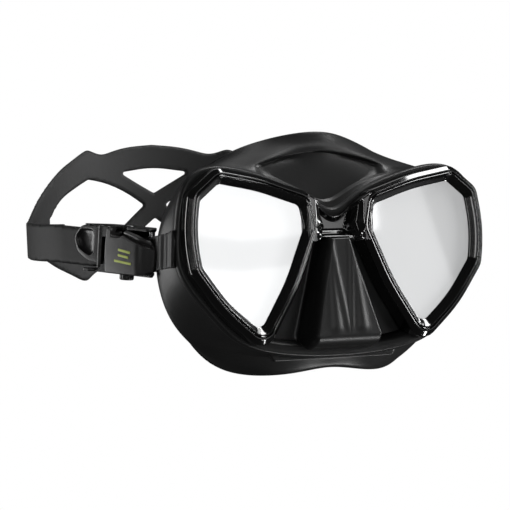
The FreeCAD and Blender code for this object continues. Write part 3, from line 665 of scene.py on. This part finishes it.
def bridge_rows():
    """The saddle between the rims: flat land at each side, two facets falling to a deep waisted middle.

    Columns run across on lines that follow the facet edges; each column is a closed loop up the front
    and down the back. The top edge is z = 13.4 + 11.5 (1 - exp(-(x / 11.5)^2)).
    """
    column = np.concatenate([np.linspace(-1.25, -1.02, 4), np.linspace(-1, -0.42, 14),
                             np.linspace(-0.4, 0.4, 17), np.linspace(0.42, 1, 14),
                             np.linspace(1.02, 1.25, 4)])[:, None]
    t = np.linspace(0, 1, 49)[None, :]
    size, sign = np.abs(column), np.sign(column)
    inner = 0.41
    waist = 5.4 + 0.5 * np.abs(BRIDGE_FOOT + 12.0 * t - 8.6)
    x = np.where(size < inner, size / inner * waist,
                 waist + (BRIDGE_HALF - waist) * (size - inner) / (1 - inner))
    x = np.where(size > 1, BRIDGE_HALF + (size - 1) * 16, x)
    top = 13.4 + 11.5 * (1 - np.exp(-(x / 11.5) ** 2))
    z = BRIDGE_FOOT + (top - BRIDGE_FOOT) * t
    fall = np.clip((BRIDGE_HALF - x) / (BRIDGE_HALF - waist), 0, 1)
    knee = 0.48
    depth = LAND + 0.35 + 1.5 * np.minimum(fall / knee, 1) + 5.2 * np.maximum(fall - knee, 0) / (1 - knee)
    lip = np.exp(-((z - top) / 1.1) ** 2)
    roll = np.exp(-((z - BRIDGE_FOOT - 1.9) / 1.7) ** 2)
    depth = depth - fall * (2.4 * lip + 4.3 * roll)
    depth = depth + 0.8 * np.exp(-((z - top) / 0.25) ** 2)
    depth = depth + 1.6 * fall * np.exp(-((z - BRIDGE_FOOT) / 0.5) ** 2)
    front = np.stack([sign * x, depth, z], -1)
    back = np.stack([sign * x, np.full_like(x, -18.0), z], -1)[:, ::-1]
    return np.concatenate([front, back[:, ::4]], 1)


# ---------------------------------------------------------------------------------------------------
# Buckle
# ---------------------------------------------------------------------------------------------------

CHEEK_IN, CHEEK_OUT = 9.0, 10.5
ROLLER_X, ROLLER_RADIUS, BUTTON_X = 22.3, 3.0, 13.8
THUMB = ((23.0, -6.4, 1.0), (23.0, 9.9, 1.0), (35.5, 9.7, 4.5), (39.8, 4.2, 4.0), (37.4, -2.0, 6.0),
         (31.0, -5.6, 10.0))
DISH = ((27.2, -3.4, 2.4), (27.2, 8.3, 2.4), (35.0, 8.2, 3.6), (38.4, 4.2, 3.0), (36.4, -0.4, 4.0),
        (31.0, -3.2, 6.0))
REAR = ((28.0, 5.3, 0.4), (30.0, 7.7, 1.0), (34.0, 7.7, 0.8), (29.0, -5.9, 2.0), (24.0, -7.4, 1.0),
        (4.2, -7.4, 1.5))
NOTCH = ((10.4, 5.3, 0.5), (10.4, -3.4, 3.2), (17.2, -3.4, 3.2), (17.2, 5.3, 0.5))
LOWER_CHEEK = ((-5.3, 3.9, 0.6), (-5.3, 5.3, 0.6)) + NOTCH + REAR
UPPER_CHEEK = ((-3.2, 1.2, 0.8), (-3.2, 5.3, 2.0)) + NOTCH + REAR


def buckle_base(shell):
    """Cheeks, floor, rear bar, the two rails beside the slot, and the thumb plate with its dished hollow."""
    edge = 0.4
    for corners, low, high in ((UPPER_CHEEK, CHEEK_IN, CHEEK_OUT), (LOWER_CHEEK, -CHEEK_OUT, -CHEEK_IN)):
        rows = [(-edge, low), (-0.12, low + 0.1), (0, low + edge), (0, high - edge), (-0.12, high - 0.1),
                (-edge, high)]
        shell.add(plate_rows(corners, rows, on_top))
    floor = ((6.5, -7.4, 0.4), (6.5, -6.3, 0.4), (25.0, -6.3, 0.4), (25.0, -7.4, 0.4))
    shell.add(plate_rows(floor, [(0, -CHEEK_IN - 0.3), (0, CHEEK_IN + 0.3)], on_top))
    bar = ((22.7, 5.8, 0.8), (22.7, 8.3, 0.9), (24.9, 8.3, 0.9), (24.9, 5.8, 0.6))
    shell.add(plate_rows(bar, [(-0.5, -8.6), (0, -8.1), (0, 9.9), (-0.5, 10.4)], on_top))
    for low, high in ((5.4, 10.2), (-10.2, -6.4)):
        rail = ((19.0, low, 0.4), (19.0, high, 0.8), (24.0, high - 0.2, 0.8), (24.0, low, 0.8))
        shell.add(plate_rows(rail, [(-0.3, 5.7), (0, 6.0), (0, 7.5), (-0.3, 7.8)], on_side))
    shell.add(thumb_plate())


def thumb_plate():
    """The D-shaped plate: rounded rim, and a dish pressed into its outer face, deepest at its low corner."""
    rim, dish = match_loops(outline(THUMB)), match_loops(outline(DISH))
    middle, hollow = rim.mean(0), dish.mean(0) + [-1.2, -0.8]
    rows = [(middle + (rim - middle) * share, height) for share, height in
            ((0.96, 5.6), (1.0, 5.9), (1.0, 7.3), (0.985, 7.75), (0.955, 7.98))]
    rows += [(hollow + (dish - hollow) * share, height) for share, height in
             ((1.06, 8.0), (1.02, 7.95), (0.985, 7.75), (0.94, 7.3), (0.84, 6.7), (0.6, 6.25), (0.3, 6.05),
              (0.08, 6.0))]
    return np.stack([on_side(flat, height) for flat, height in rows])


def match_loops(flat):
    """The same loop read at even angles round its middle, so that two loops pair up."""
    middle = flat.mean(0)
    angle = np.arctan2(flat[:, 1] - middle[1], flat[:, 0] - middle[0])
    order = np.argsort(angle)
    angle, flat = angle[order], flat[order]
    wanted = np.linspace(-math.pi, math.pi, 96, endpoint=False)
    wrap = np.concatenate([angle - 2 * math.pi, angle, angle + 2 * math.pi])
    return np.stack([np.interp(wanted, wrap, np.tile(flat[:, k], 3)) for k in (0, 1)], 1)


COVER_TOP = ((-6.0, -1.5), (-5.7, 1.0), (-4.8, 3.0), (-3.2, 4.8), (-1.0, 6.2), (3.0, 7.5), (8.0, 8.5),
             (10.3, 8.7), (10.7, 6.3), (13.8, 6.0), (16.9, 6.3), (17.3, 10.2), (20.2, 10.35))
COVER_LOW = ((-6.0, -4.0), (-5.7, -6.3), (-4.8, -8.0), (-3.2, -9.2), (-1.0, -9.9), (3.0, -10.3),
             (20.2, -10.35))
LID_FRONT, LID_BACK = COVER_TOP[0][0], COVER_TOP[-1][0]


def slant(back):
    """Where the lid's raised part ends, as a height along the pin."""
    return np.interp(back, [-7.0, 6.0, 21.0], [1.0, 4.9, 9.7])


def cover_height(back, up):
    """Outward height of the lid: a low dome that rolls down in front, with a step along the slant."""
    dome = 8.9 - 0.008 * up ** 2 - 0.0022 * (back - 10) ** 2
    roll = 4.6 * smooth_step(2.5, -6.8, back) ** 1.5
    past = up - slant(back)
    step = 1.7 * smooth_step(0.0, 0.55, past) - 0.55 * smooth_step(0.6, 2.6, past)
    gap = 0.5 * np.exp(-((past - 0.65) / 0.35) ** 2)
    return dome - roll - step - gap


def buckle_cover(shell):
    """The lid: an even grid between its long edges, lifted to cover_height, with walls and a back."""
    back = np.concatenate([[-6.0, -5.97], np.linspace(-5.8, 10.2, 70), np.linspace(10.3, 10.7, 5),
                           np.linspace(11, 16.8, 20), np.linspace(16.9, 17.3, 5), np.linspace(17.5, 20.0, 9),
                           [20.17, 20.2]])
    top = np.interp(back, *np.array(COVER_TOP).T)[:, None]
    low = np.interp(back, *np.array(COVER_LOW).T)[:, None]
    t = np.concatenate([[-1, -0.99], np.linspace(-0.96, 0.96, 101), [0.99, 1]])[None, :]
    up = (top + low) / 2 + (top - low) / 2 * t
    along = np.broadcast_to(back[:, None], up.shape)
    edge = np.minimum(np.minimum(top - up, up - low), np.minimum(along - LID_FRONT, LID_BACK - along))
    drop = 1.0 - np.sqrt(np.clip(1 - (1 - np.clip(edge / 0.9, 0, 1)) ** 2, 0, 1))
    face = np.stack([along, np.maximum(cover_height(along, up) - 1.2 * drop, 4.0), up], -1)
    base = np.stack([along, np.minimum(face[..., 1] - 0.8, 5.4), up], -1)
    shell.add(in_buckle(np.concatenate([face, base[:, ::-1]], 1)))


def emblem(shell):
    """Generic inlay: two short slanting bars over a long one."""
    bars = (((4.2, -0.4), (11.4, 0.5)), ((5.2, -2.6), (11.4, -1.8)), ((3.6, -5.2), (13.6, -4.4)))
    for (x0, z0), (x1, z1) in bars:
        corners = ((x0, z0 - 0.55, 0.25), (x0, z0 + 0.55, 0.25), (x1, z1 + 0.55, 0.25), (x1, z1 - 0.55, 0.25))
        flats = [(outline(corners, grow), lift) for grow, lift in
                 ((0, -0.9), (0, 0.06), (-0.12, 0.2), (-0.3, 0.22))]
        rows = [in_buckle(np.stack([flat[:, 0], cover_height(flat[:, 0], flat[:, 1]) + lift, flat[:, 1]], 1))
                for flat, lift in flats]
        shell.add(np.stack(rows), caps=True)


def button_profile(sign, knurled):
    """(radius, height) rows of a push button: stem, underside, skirt and crown."""
    if knurled:
        rows = [(1.5, 6.0), (1.5, 9.1), (1.6, 9.2), (2.9, 9.2), (3.2, 9.5), (3.2, 12.3), (3.1, 12.7),
                (2.8, 13.0), (2.4, 13.1), (1.9, 12.9), (0.8, 12.85)]
    else:
        rows = [(1.5, 6.0), (1.5, 7.1), (1.6, 7.2), (2.9, 7.2), (3.2, 7.5), (3.2, 8.8)]
        rows += [(3.2 * math.cos(a), 8.8 + 2.7 * math.sin(a)) for a in np.linspace(0.12, 1.4, 10)]
    return [(radius, sign * height) for radius, height in rows]


# ---------------------------------------------------------------------------------------------------
# Strap
# ---------------------------------------------------------------------------------------------------

SIDE_BEND, SIDE_TURN, REAR_TURN = 58.0, math.radians(50), math.radians(60)
PLATE_END, WRAP, TAIL = 48.0, 4.1, 20.0
BAND_HALF, THICK = 8.4, 2.0
SHEET_FOOT, SHEET_TOP = -10.0, 66.0  # heights that the unrolled grid spans
LEVEL_END = PLATE_END * math.cos(PITCH)
START = PIN * [1, 1, 0] + LEVEL_BACK * LEVEL_END + OUTWARD * WRAP
BEND_HUB = START - OUTWARD * SIDE_BEND
REAR_ENTRY = BEND_HUB + SIDE_BEND * np.array([-math.sin(REAR_TURN), math.cos(REAR_TURN), 0])
REAR_RADIUS = -REAR_ENTRY[0] / math.sin(REAR_TURN)
REAR_HUB = REAR_ENTRY - REAR_RADIUS * np.array([-math.sin(REAR_TURN), math.cos(REAR_TURN), 0])
REAR_LENGTH, BEND_LENGTH = REAR_RADIUS * REAR_TURN, SIDE_BEND * SIDE_TURN
STRAIGHT = REAR_LENGTH + BEND_LENGTH

# The unrolled half strap: distance from the middle of the rear panel, and height.
TOP_EDGE = ((0, 61.5), (14, 60.2), (24.5, 57.8), (31.8, 56.4), (38.5, 57.9), (43.5, 57.3), (52.3, 53.0),
            (61.0, 48.8), (71.0, 43.2), (86.5, 34.0), (106.0, 23.4), (120.0, 20.4), (140.0, 18.3),
            (164.0, 16.6))
LOW_EDGE = ((164.0, -0.4), (140.0, 1.4), (120.0, 3.2), (106.0, 4.4), (88.0, 4.0), (74.0, 0.8), (61.7, -2.4),
            (53.2, -4.9), (45.3, -6.2), (37.1, -1.8), (20.0, 1.4), (0, 2.4))
TOP_WINDOW = ((0.0, 37.0, 1.2), (-19.5, 47.4, 0.9), (0.0, 50.2, 60.0), (19.5, 47.4, 0.9))
LOW_WINDOW = ((0.0, 24.5, 1.2), (15.5, 13.0, 0.9), (0.0, 12.0, 60.0), (-15.5, 13.0, 0.9))
SIDE_WINDOW = ((6.0, 31.0, 1.0), (22.3, 41.6, 60.0), (41.0, 43.6, 3.0), (64.4, 33.2, 60.0),
               (80.0, 20.5, 3.5), (66.0, 11.5, 14.0), (43.0, 6.4, 3.0), (21.0, 19.0, 60.0))


def distance_to(points, loop):
    """Signed distance from points to a closed polygon: negative inside."""
    a, b = loop, np.roll(loop, -1, 0)
    edge = b - a
    best = np.full(len(points), np.inf)
    inside = np.zeros(len(points), bool)
    for start, along, end in zip(a, edge, b):
        share = np.clip(((points - start) @ along) / max(along @ along, 1e-12), 0, 1)
        best = np.minimum(best, np.linalg.norm(points - start - share[:, None] * along, axis=1))
        crosses = (start[1] > points[:, 1]) != (end[1] > points[:, 1])
        if along[1] != 0:
            inside ^= crosses & (points[:, 0] < start[0] + (points[:, 1] - start[1]) * along[0] / along[1])
    return np.where(inside, -best, best)


def strap_field(flat):
    """Signed distance to the unrolled strap: the panel less its windows, joined to the buckle's band."""
    spread = [through(np.array(edge, float), np.linspace(0, len(edge) - 1, 6 * len(edge)))
              for edge in (TOP_EDGE, LOW_EDGE)]
    mirror = [spread[0][::-1] * [-1, 1], spread[0], spread[1], spread[1][::-1] * [-1, 1]]
    panel = distance_to(flat, np.concatenate([mirror[1], mirror[2], mirror[3], mirror[0]]))
    for window in (TOP_WINDOW, LOW_WINDOW, SIDE_WINDOW):
        panel = np.maximum(panel, -distance_to(flat, outline(window)))
    back, up = band_place(flat)
    ends = np.maximum(back - PLATE_END - 5.0, ROLLER_X - math.pi * WRAP - TAIL - back)
    band = np.maximum(np.abs(up) - BAND_HALF, ends)
    return np.minimum(panel, band)


def band_place(flat):
    """Unrolled points in the buckle's own back and up coordinates."""
    level, rise = LEVEL_END - (flat[:, 0] - STRAIGHT), flat[:, 1] - PIN[2]
    cos, sin = math.cos(PITCH), math.sin(PITCH)
    return level * cos + rise * sin, rise * cos - level * sin


def strap_surface(flat, lift):
    """Unrolled points on the worn strap, raised by lift: rear arc, side bend, straight, roller turn."""
    p, z = flat[:, 0], flat[:, 1]
    rear = p / REAR_RADIUS
    bend = REAR_TURN + (p - REAR_LENGTH) / SIDE_BEND
    angle = np.where(p < REAR_LENGTH, rear, np.minimum(bend, REAR_TURN + SIDE_TURN))
    hub = np.where((p < REAR_LENGTH)[:, None], REAR_HUB, BEND_HUB)
    radius = np.where(p < REAR_LENGTH, REAR_RADIUS, SIDE_BEND) + lift
    direction = np.stack([-np.sin(angle), np.cos(angle), np.zeros_like(angle)], 1)
    worn = hub + radius[:, None] * direction
    worn -= np.maximum(p - STRAIGHT, 0)[:, None] * LEVEL_BACK
    worn[:, 2] = z
    back, up = band_place(flat)
    run = ROLLER_X - back
    turn = np.clip(run / WRAP, 0, math.pi)
    past = np.maximum(run - math.pi * WRAP, 0)
    local = np.stack([ROLLER_X - (WRAP + lift) * np.sin(turn) + past, (WRAP + lift) * np.cos(turn), up], 1)
    return np.where((run > 0)[:, None], in_buckle(local), worn)


def strap_half(name, mirror, finish):
    """Half the strap as one closed mesh: a square grid clipped to strap_field and pulled onto its edge.

    The thickness follows a half circle near the edge, so the rim is round.
    """
    cell = 0.85
    columns, rows = int((STRAIGHT + PLATE_END + 22.0) / cell), int((SHEET_TOP - SHEET_FOOT) / cell)
    p = np.arange(columns + 1) * cell
    q = SHEET_FOOT + np.arange(rows + 1) * cell
    flat = np.stack(np.meshgrid(p, q, indexing="ij"), -1).reshape(-1, 2)
    field = strap_field(flat)
    small = 0.05
    ahead, above = strap_field(flat + [small, 0]), strap_field(flat + [0, small])
    slope = np.stack([ahead - field, above - field], 1) / small
    slope /= np.maximum(np.linalg.norm(slope, axis=1, keepdims=True), 0.3)
    near = np.abs(field) < 0.72 * cell
    moved = flat - slope * (field * near)[:, None]
    moved[:, 0] = np.where(flat[:, 0] == 0, 0.0, np.maximum(moved[:, 0], 0.0))
    field = np.where(near, 0.0, field)
    index = np.arange(len(flat)).reshape(columns + 1, rows + 1)
    quads = np.stack([index[:-1, :-1], index[1:, :-1], index[1:, 1:], index[:-1, 1:]], -1)
    quads = quads.reshape(-1, 4)
    middle_in = strap_field(moved[quads].mean(1)) < -0.1
    keep = (field[quads] <= 0).all(1) & ((field[quads] < 0).any(1) | middle_in)
    quads = quads[keep]
    depth = np.clip(-field, 0, 1)
    swell_by = THICK / 2 * np.sqrt(np.clip(1 - (1 - depth) ** 2, 0, 1))
    swell_by = np.where(near, 0.0, np.maximum(swell_by, THICK * 0.36))
    outer = strap_surface(moved, swell_by)
    inner = strap_surface(moved, -swell_by)
    used, faces = np.unique(np.concatenate([quads, quads[:, ::-1] + len(flat)]), return_inverse=True)
    points = np.concatenate([outer, inner])[used]
    return make_piece(name, points, faces.reshape(-1, 4), finish, mirror, merge=0.03, crease_seams=True)


# ---------------------------------------------------------------------------------------------------
# Stage
# ---------------------------------------------------------------------------------------------------

CAMERA_RIGHT = (0.8684, -0.4933, -0.0508)
CAMERA_UP = (0.0278, -0.0539, 0.9982)
CAMERA_BACK = (-0.4951, -0.8682, -0.0331)
CAMERA_PLACE = (-0.5357, -0.8896, -0.0356)
FOCAL_LENGTH = 163.3


def emitter(name, strength):
    """A plain white glowing material for the stage."""
    f = Finish(name)
    shader = f.node("ShaderNodeEmission", {}, Color=(1, 1, 1, 1), Strength=strength)
    f.tree.links.new(shader.link, f.output.inputs["Surface"])
    return f.material


def card(name, corners, material):
    """A flat stage panel from its corners in metres, seen only in reflections."""
    mesh = bpy.data.meshes.new(name)
    mesh.from_pydata([tuple(corner) for corner in corners], [], [tuple(range(len(corners)))])
    mesh.materials.append(material)
    panel = bpy.data.objects.new(name, mesh)
    bpy.context.scene.collection.objects.link(panel)
    panel.visible_camera = panel.visible_diffuse = panel.visible_shadow = False
    return panel


def softbox(name, place, size, power):
    """A rectangular area light at a place, facing the mask."""
    light = bpy.data.lights.new(name, "AREA")
    light.shape, light.size, light.size_y = "RECTANGLE", size[0], size[1]
    light.energy = power
    lamp = bpy.data.objects.new(name, light)
    bpy.context.scene.collection.objects.link(lamp)
    back = unit(place)
    side = unit(np.cross([0, 0, 1], back))
    up = np.cross(back, side)
    lamp.matrix_world = Matrix([[side[i], up[i], back[i], place[i]] for i in range(3)] + [[0, 0, 0, 1]])
    return lamp


def on_card(x, z, depth):
    """Where the camera, reflected in the lens at (x, z) millimetres, meets the plane y = depth."""
    plane = GLASS_FRONT * MM
    eye = np.array([CAMERA_PLACE[0], 2 * plane - CAMERA_PLACE[1], CAMERA_PLACE[2]])
    way = np.array([x * MM, plane, z * MM]) - eye
    return eye + way * (depth - eye[1]) / way[1]


# Softboxes: name, direction from the mask, distance in metres, width and height, power in watts.
LIGHTS = (
    ("left rear", (-0.75, 0.66, -0.05), 1.5, (0.4, 1.4), 14),
    ("top", (0.1, 0.25, 0.96), 1.4, (1.0, 0.35), 2.5),
    ("top front", (0.47, -0.20, 0.85), 1.5, (0.6, 0.55), 13),
    ("right", (0.95, -0.30, 0.10), 1.4, (0.22, 1.0), 15),
    ("left", (-0.83, -0.55, 0.05), 1.6, (0.08, 1.0), 1.5),
    ("front", (-0.12, -0.99, 0.10), 1.7, (0.08, 1.0), 5),
    ("below", (0.45, -0.35, -0.82), 1.5, (0.6, 0.15), 8),
)
CARD_PLANE = -0.9
# Cards that only the lenses' mirror sees: corners as places on the lens plane in mm, and brightness.
LENS_CARDS = (
    (((-95, -60), (4, -60), (4, 60), (-95, 60)), 1.78),
    (((4, -60), (95, -60), (95, 60), (4, 60)), 1.03),
    (((-90, 9.5), (-48, 3.5), (2, 6.3), (2, -5.5), (-48, -9.5), (-90, -6)), 1.45),
    (((40, 40), (95, 40), (95, -60), (75, -60)), 0.66),
    (((14, 21), (21, 21), (21, 7), (14, 7)), 2.2),
)


def build_stage():
    """White seamless surroundings, softboxes, reflection cards for the lenses, and the camera."""
    scene = bpy.context.scene
    scene.view_settings.view_transform = "Standard"
    world = bpy.data.worlds.new("Dim studio")
    world.use_nodes = True
    world.node_tree.nodes["Background"].inputs["Color"].default_value = (1, 1, 1, 1)
    world.node_tree.nodes["Background"].inputs["Strength"].default_value = 0.03
    scene.world = world
    white = emitter("Seamless white", 1.0)
    bpy.ops.mesh.primitive_uv_sphere_add(radius=12, segments=48, ring_count=24)
    dome = bpy.context.object
    dome.name = "backdrop"
    level = CAD_BOX[0][2] - 0.002
    mesh = bpy.data.meshes.new("floor")
    mesh.from_pydata([(x, y, level) for x, y in ((-6, -6), (6, -6), (6, 6), (-6, 6))], [], [(0, 1, 2, 3)])
    floor = bpy.data.objects.new("floor", mesh)
    scene.collection.objects.link(floor)
    for surround in (dome, floor):
        surround.data.materials.append(white)
        surround.visible_diffuse = surround.visible_glossy = surround.visible_shadow = False
        surround.visible_transmission = True
    for name, way, distance, size, power in LIGHTS:
        softbox(name, unit(np.array(way)) * distance, size, power)
    for index, (corners, strength) in enumerate(LENS_CARDS):
        glow = emitter("Lens card %d" % index, strength)
        card("lens_card_%d" % index, [on_card(x, z, CARD_PLANE + 0.004 * index) for x, z in corners], glow)
    camera = bpy.data.objects.new("camera", bpy.data.cameras.new("camera"))
    camera.data.lens, camera.data.sensor_width = FOCAL_LENGTH, 36
    camera.data.clip_start, camera.data.clip_end = 0.05, 60
    rows = [[CAMERA_RIGHT[i], CAMERA_UP[i], CAMERA_BACK[i], CAMERA_PLACE[i]] for i in range(3)]
    camera.matrix_world = Matrix(rows + [[0, 0, 0, 1]])
    scene.collection.objects.link(camera)
    scene.camera = camera


# ---------------------------------------------------------------------------------------------------
# Add-on
# ---------------------------------------------------------------------------------------------------


class DivingMaskSettings(bpy.types.PropertyGroup):
    """Colours that a user would change."""

    skirt_grey: FloatProperty(name="Skirt grey", description="Brightness of the skirt's silicone",
                              default=0.010, min=0.0, max=1.0)
    strap_grey: FloatProperty(name="Strap grey", description="Brightness of the strap's silicone",
                              default=0.012, min=0.0, max=1.0)
    emblem_colour: FloatVectorProperty(name="Emblem", description="Colour of the buckle inlays",
                                       default=(0.54, 0.63, 0.13), size=3, min=0.0, max=1.0, subtype="COLOR")


class MASK_OT_skirt(bpy.types.Operator):
    """Build the silicone skirt with its nose pocket, collars and tabs"""

    bl_idname = "mask.skirt"
    bl_label = "Skirt"

    def execute(self, context):
        shell = Shell()
        skirt_wall(shell)
        nose_patch(shell)
        lens_collars(shell)
        skirt_tabs(shell)
        shell.build("skirt_moulding", finish_of("skirt_silicone"), "root", "skirt_silicone", ["skirt"])
        return {"FINISHED"}


class MASK_OT_frame(bpy.types.Operator):
    """Build the two rims and the bridge as one polished moulding, and the two bezels"""

    bl_idname = "mask.frame"
    bl_label = "Frame and bezels"

    def execute(self, context):
        shell = Shell()
        for side in (1, -1):
            shell.add(swept_ring(rim_profile(), side), rows_close=True)
        shell.add(bridge_rows(), caps=True)
        shell.build("frame_moulding", finish_of("frame_gloss"), "root", "frame_gloss", ["frame"],
                    flat_faces=True)
        for name, side in (("left", 1), ("right", -1)):
            ring = Shell().add(swept_ring(bezel_profile(), side), rows_close=True)
            ring.build("bezel_ring_" + name, finish_of("bezel_gloss"), "root", "bezel_gloss",
                       ["bezel_" + name], flat_faces=True)
        return {"FINISHED"}


class MASK_OT_carried(bpy.types.Operator):
    """Give the lenses, axles and pins that come from the frame their finishes"""

    bl_idname = "mask.carried"
    bl_label = "Lenses and pins"

    def execute(self, context):
        slots = {part["node"]: part["material_slot"] for part in frame["record"]["subparts"]}
        for node, piece in frame["nodes"].items():
            if piece.hide_render:
                continue
            piece.data.materials.clear()
            piece.data.materials.append(finish_of(slots[node]))
        return {"FINISHED"}


class MASK_OT_buckles(bpy.types.Operator):
    """Build both buckles: base, cover, emblem, buttons, roller and return spring"""

    bl_idname = "mask.buckles"
    bl_label = "Buckles"

    def execute(self, context):
        for side, mirror in (("right", False), ("left", True)):
            body = "buckle_" + side
            base, cover, inlay = Shell(), Shell(), Shell()
            buckle_base(base)
            buckle_cover(cover)
            emblem(inlay)
            base.build("base_" + side, finish_of("buckle_plastic"), body, "buckle_plastic",
                       ["buckle_base_" + side], mirror, True)
            cover.build("cover_" + side, finish_of("cover_plastic"), body, "cover_plastic",
                        ["buckle_cover_" + side], mirror, True)
            inlay.build("inlay_" + side, finish_of("emblem_lime"), body, "emblem_lime",
                        ["emblem_" + side], mirror, True)
            for level, sign, knurled in (("upper", 1, False), ("lower", -1, True)):
                button = Shell().add(turned(button_profile(sign, knurled), (BUTTON_X, 0), 72,
                                            14 if knurled else 0, 0.07 if knurled else 0.0), caps=True)
                button.build("%s_push_%s" % (level, side), finish_of("button_plastic"),
                             "%s_button_%s" % (level, side), "button_plastic",
                             ["button_%s_%s" % (level, side)], mirror)
            self.roller(side, mirror)
            self.spring(side, mirror)
        return {"FINISHED"}

    def roller(self, side, mirror):
        """A fluted roller with chamfered ends."""
        half, radius = 8.7, ROLLER_RADIUS
        profile = [(1.06, -half), (radius - 0.4, -half), (radius, -half + 0.4), (radius, half - 0.4),
                   (radius - 0.4, half), (1.06, half)]
        rows = turned(profile, (ROLLER_X, 0), 96, 16, 0.06)
        Shell().add(rows, rows_close=True).build("fluted_roller_" + side, finish_of("roller_plastic"),
                                                 "roller_body_" + side, "roller_plastic",
                                                 ["roller_" + side], mirror)

    def spring(self, side, mirror):
        """A coil: a small circle carried up a helix."""
        turns, half, coil, wire = 9, 5.9, 1.05, 0.2
        t = np.linspace(0, turns * 2 * math.pi, turns * 24)[:, None]
        around = np.linspace(0, 2 * math.pi, 8, endpoint=False)[None, :]
        radius = coil + wire * np.cos(around)
        height = -half + 2 * half * t / t[-1] + wire * np.sin(around)
        local = np.stack([BUTTON_X + radius * np.cos(t), radius * np.sin(t), height], -1)
        Shell().add(in_buckle(local), caps=True).build("return_spring_" + side, finish_of("pin_steel"),
                                                       "buckle_" + side, "pin_steel",
                                                       ["button_spring_" + side], mirror)


class MASK_OT_strap(bpy.types.Operator):
    """Build the head strap as two halves that meet behind the head"""

    bl_idname = "mask.strap"
    bl_label = "Strap"

    def execute(self, context):
        for side, mirror in (("right", False), ("left", True)):
            piece = strap_half("strap_half_" + side, mirror, finish_of("strap_silicone"))
            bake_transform(piece)
            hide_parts("strap")
        return {"FINISHED"}


class MASK_OT_stage(bpy.types.Operator):
    """Set up the white surroundings, the lights and the camera"""

    bl_idname = "mask.stage"
    bl_label = "Stage"

    def execute(self, context):
        build_stage()
        return {"FINISHED"}


class MASK_PT_panel(bpy.types.Panel):
    """Lists the operators and the colours"""

    bl_label = "Diving mask"
    bl_idname = "MASK_PT_panel"
    bl_space_type = "VIEW_3D"
    bl_region_type = "UI"
    bl_category = "Diving mask"

    def draw(self, context):
        settings = context.scene.diving_mask
        for name in ("skirt_grey", "strap_grey", "emblem_colour"):
            self.layout.prop(settings, name)
        for operator in STEPS:
            self.layout.operator("mask." + operator)


STEPS = ("skirt", "frame", "buckles", "strap", "carried", "stage")
CLASSES = (DivingMaskSettings, MASK_OT_skirt, MASK_OT_frame, MASK_OT_carried, MASK_OT_buckles,
           MASK_OT_strap, MASK_OT_stage, MASK_PT_panel)


def register():
    for item in CLASSES:
        bpy.utils.register_class(item)
    bpy.types.Scene.diving_mask = PointerProperty(type=DivingMaskSettings)


def unregister():
    del bpy.types.Scene.diving_mask
    for item in reversed(CLASSES):
        bpy.utils.unregister_class(item)


def main():
    """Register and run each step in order."""
    register()
    for operator in STEPS:
        getattr(bpy.ops.mask, operator)()


if __name__ == "__main__":
    main()
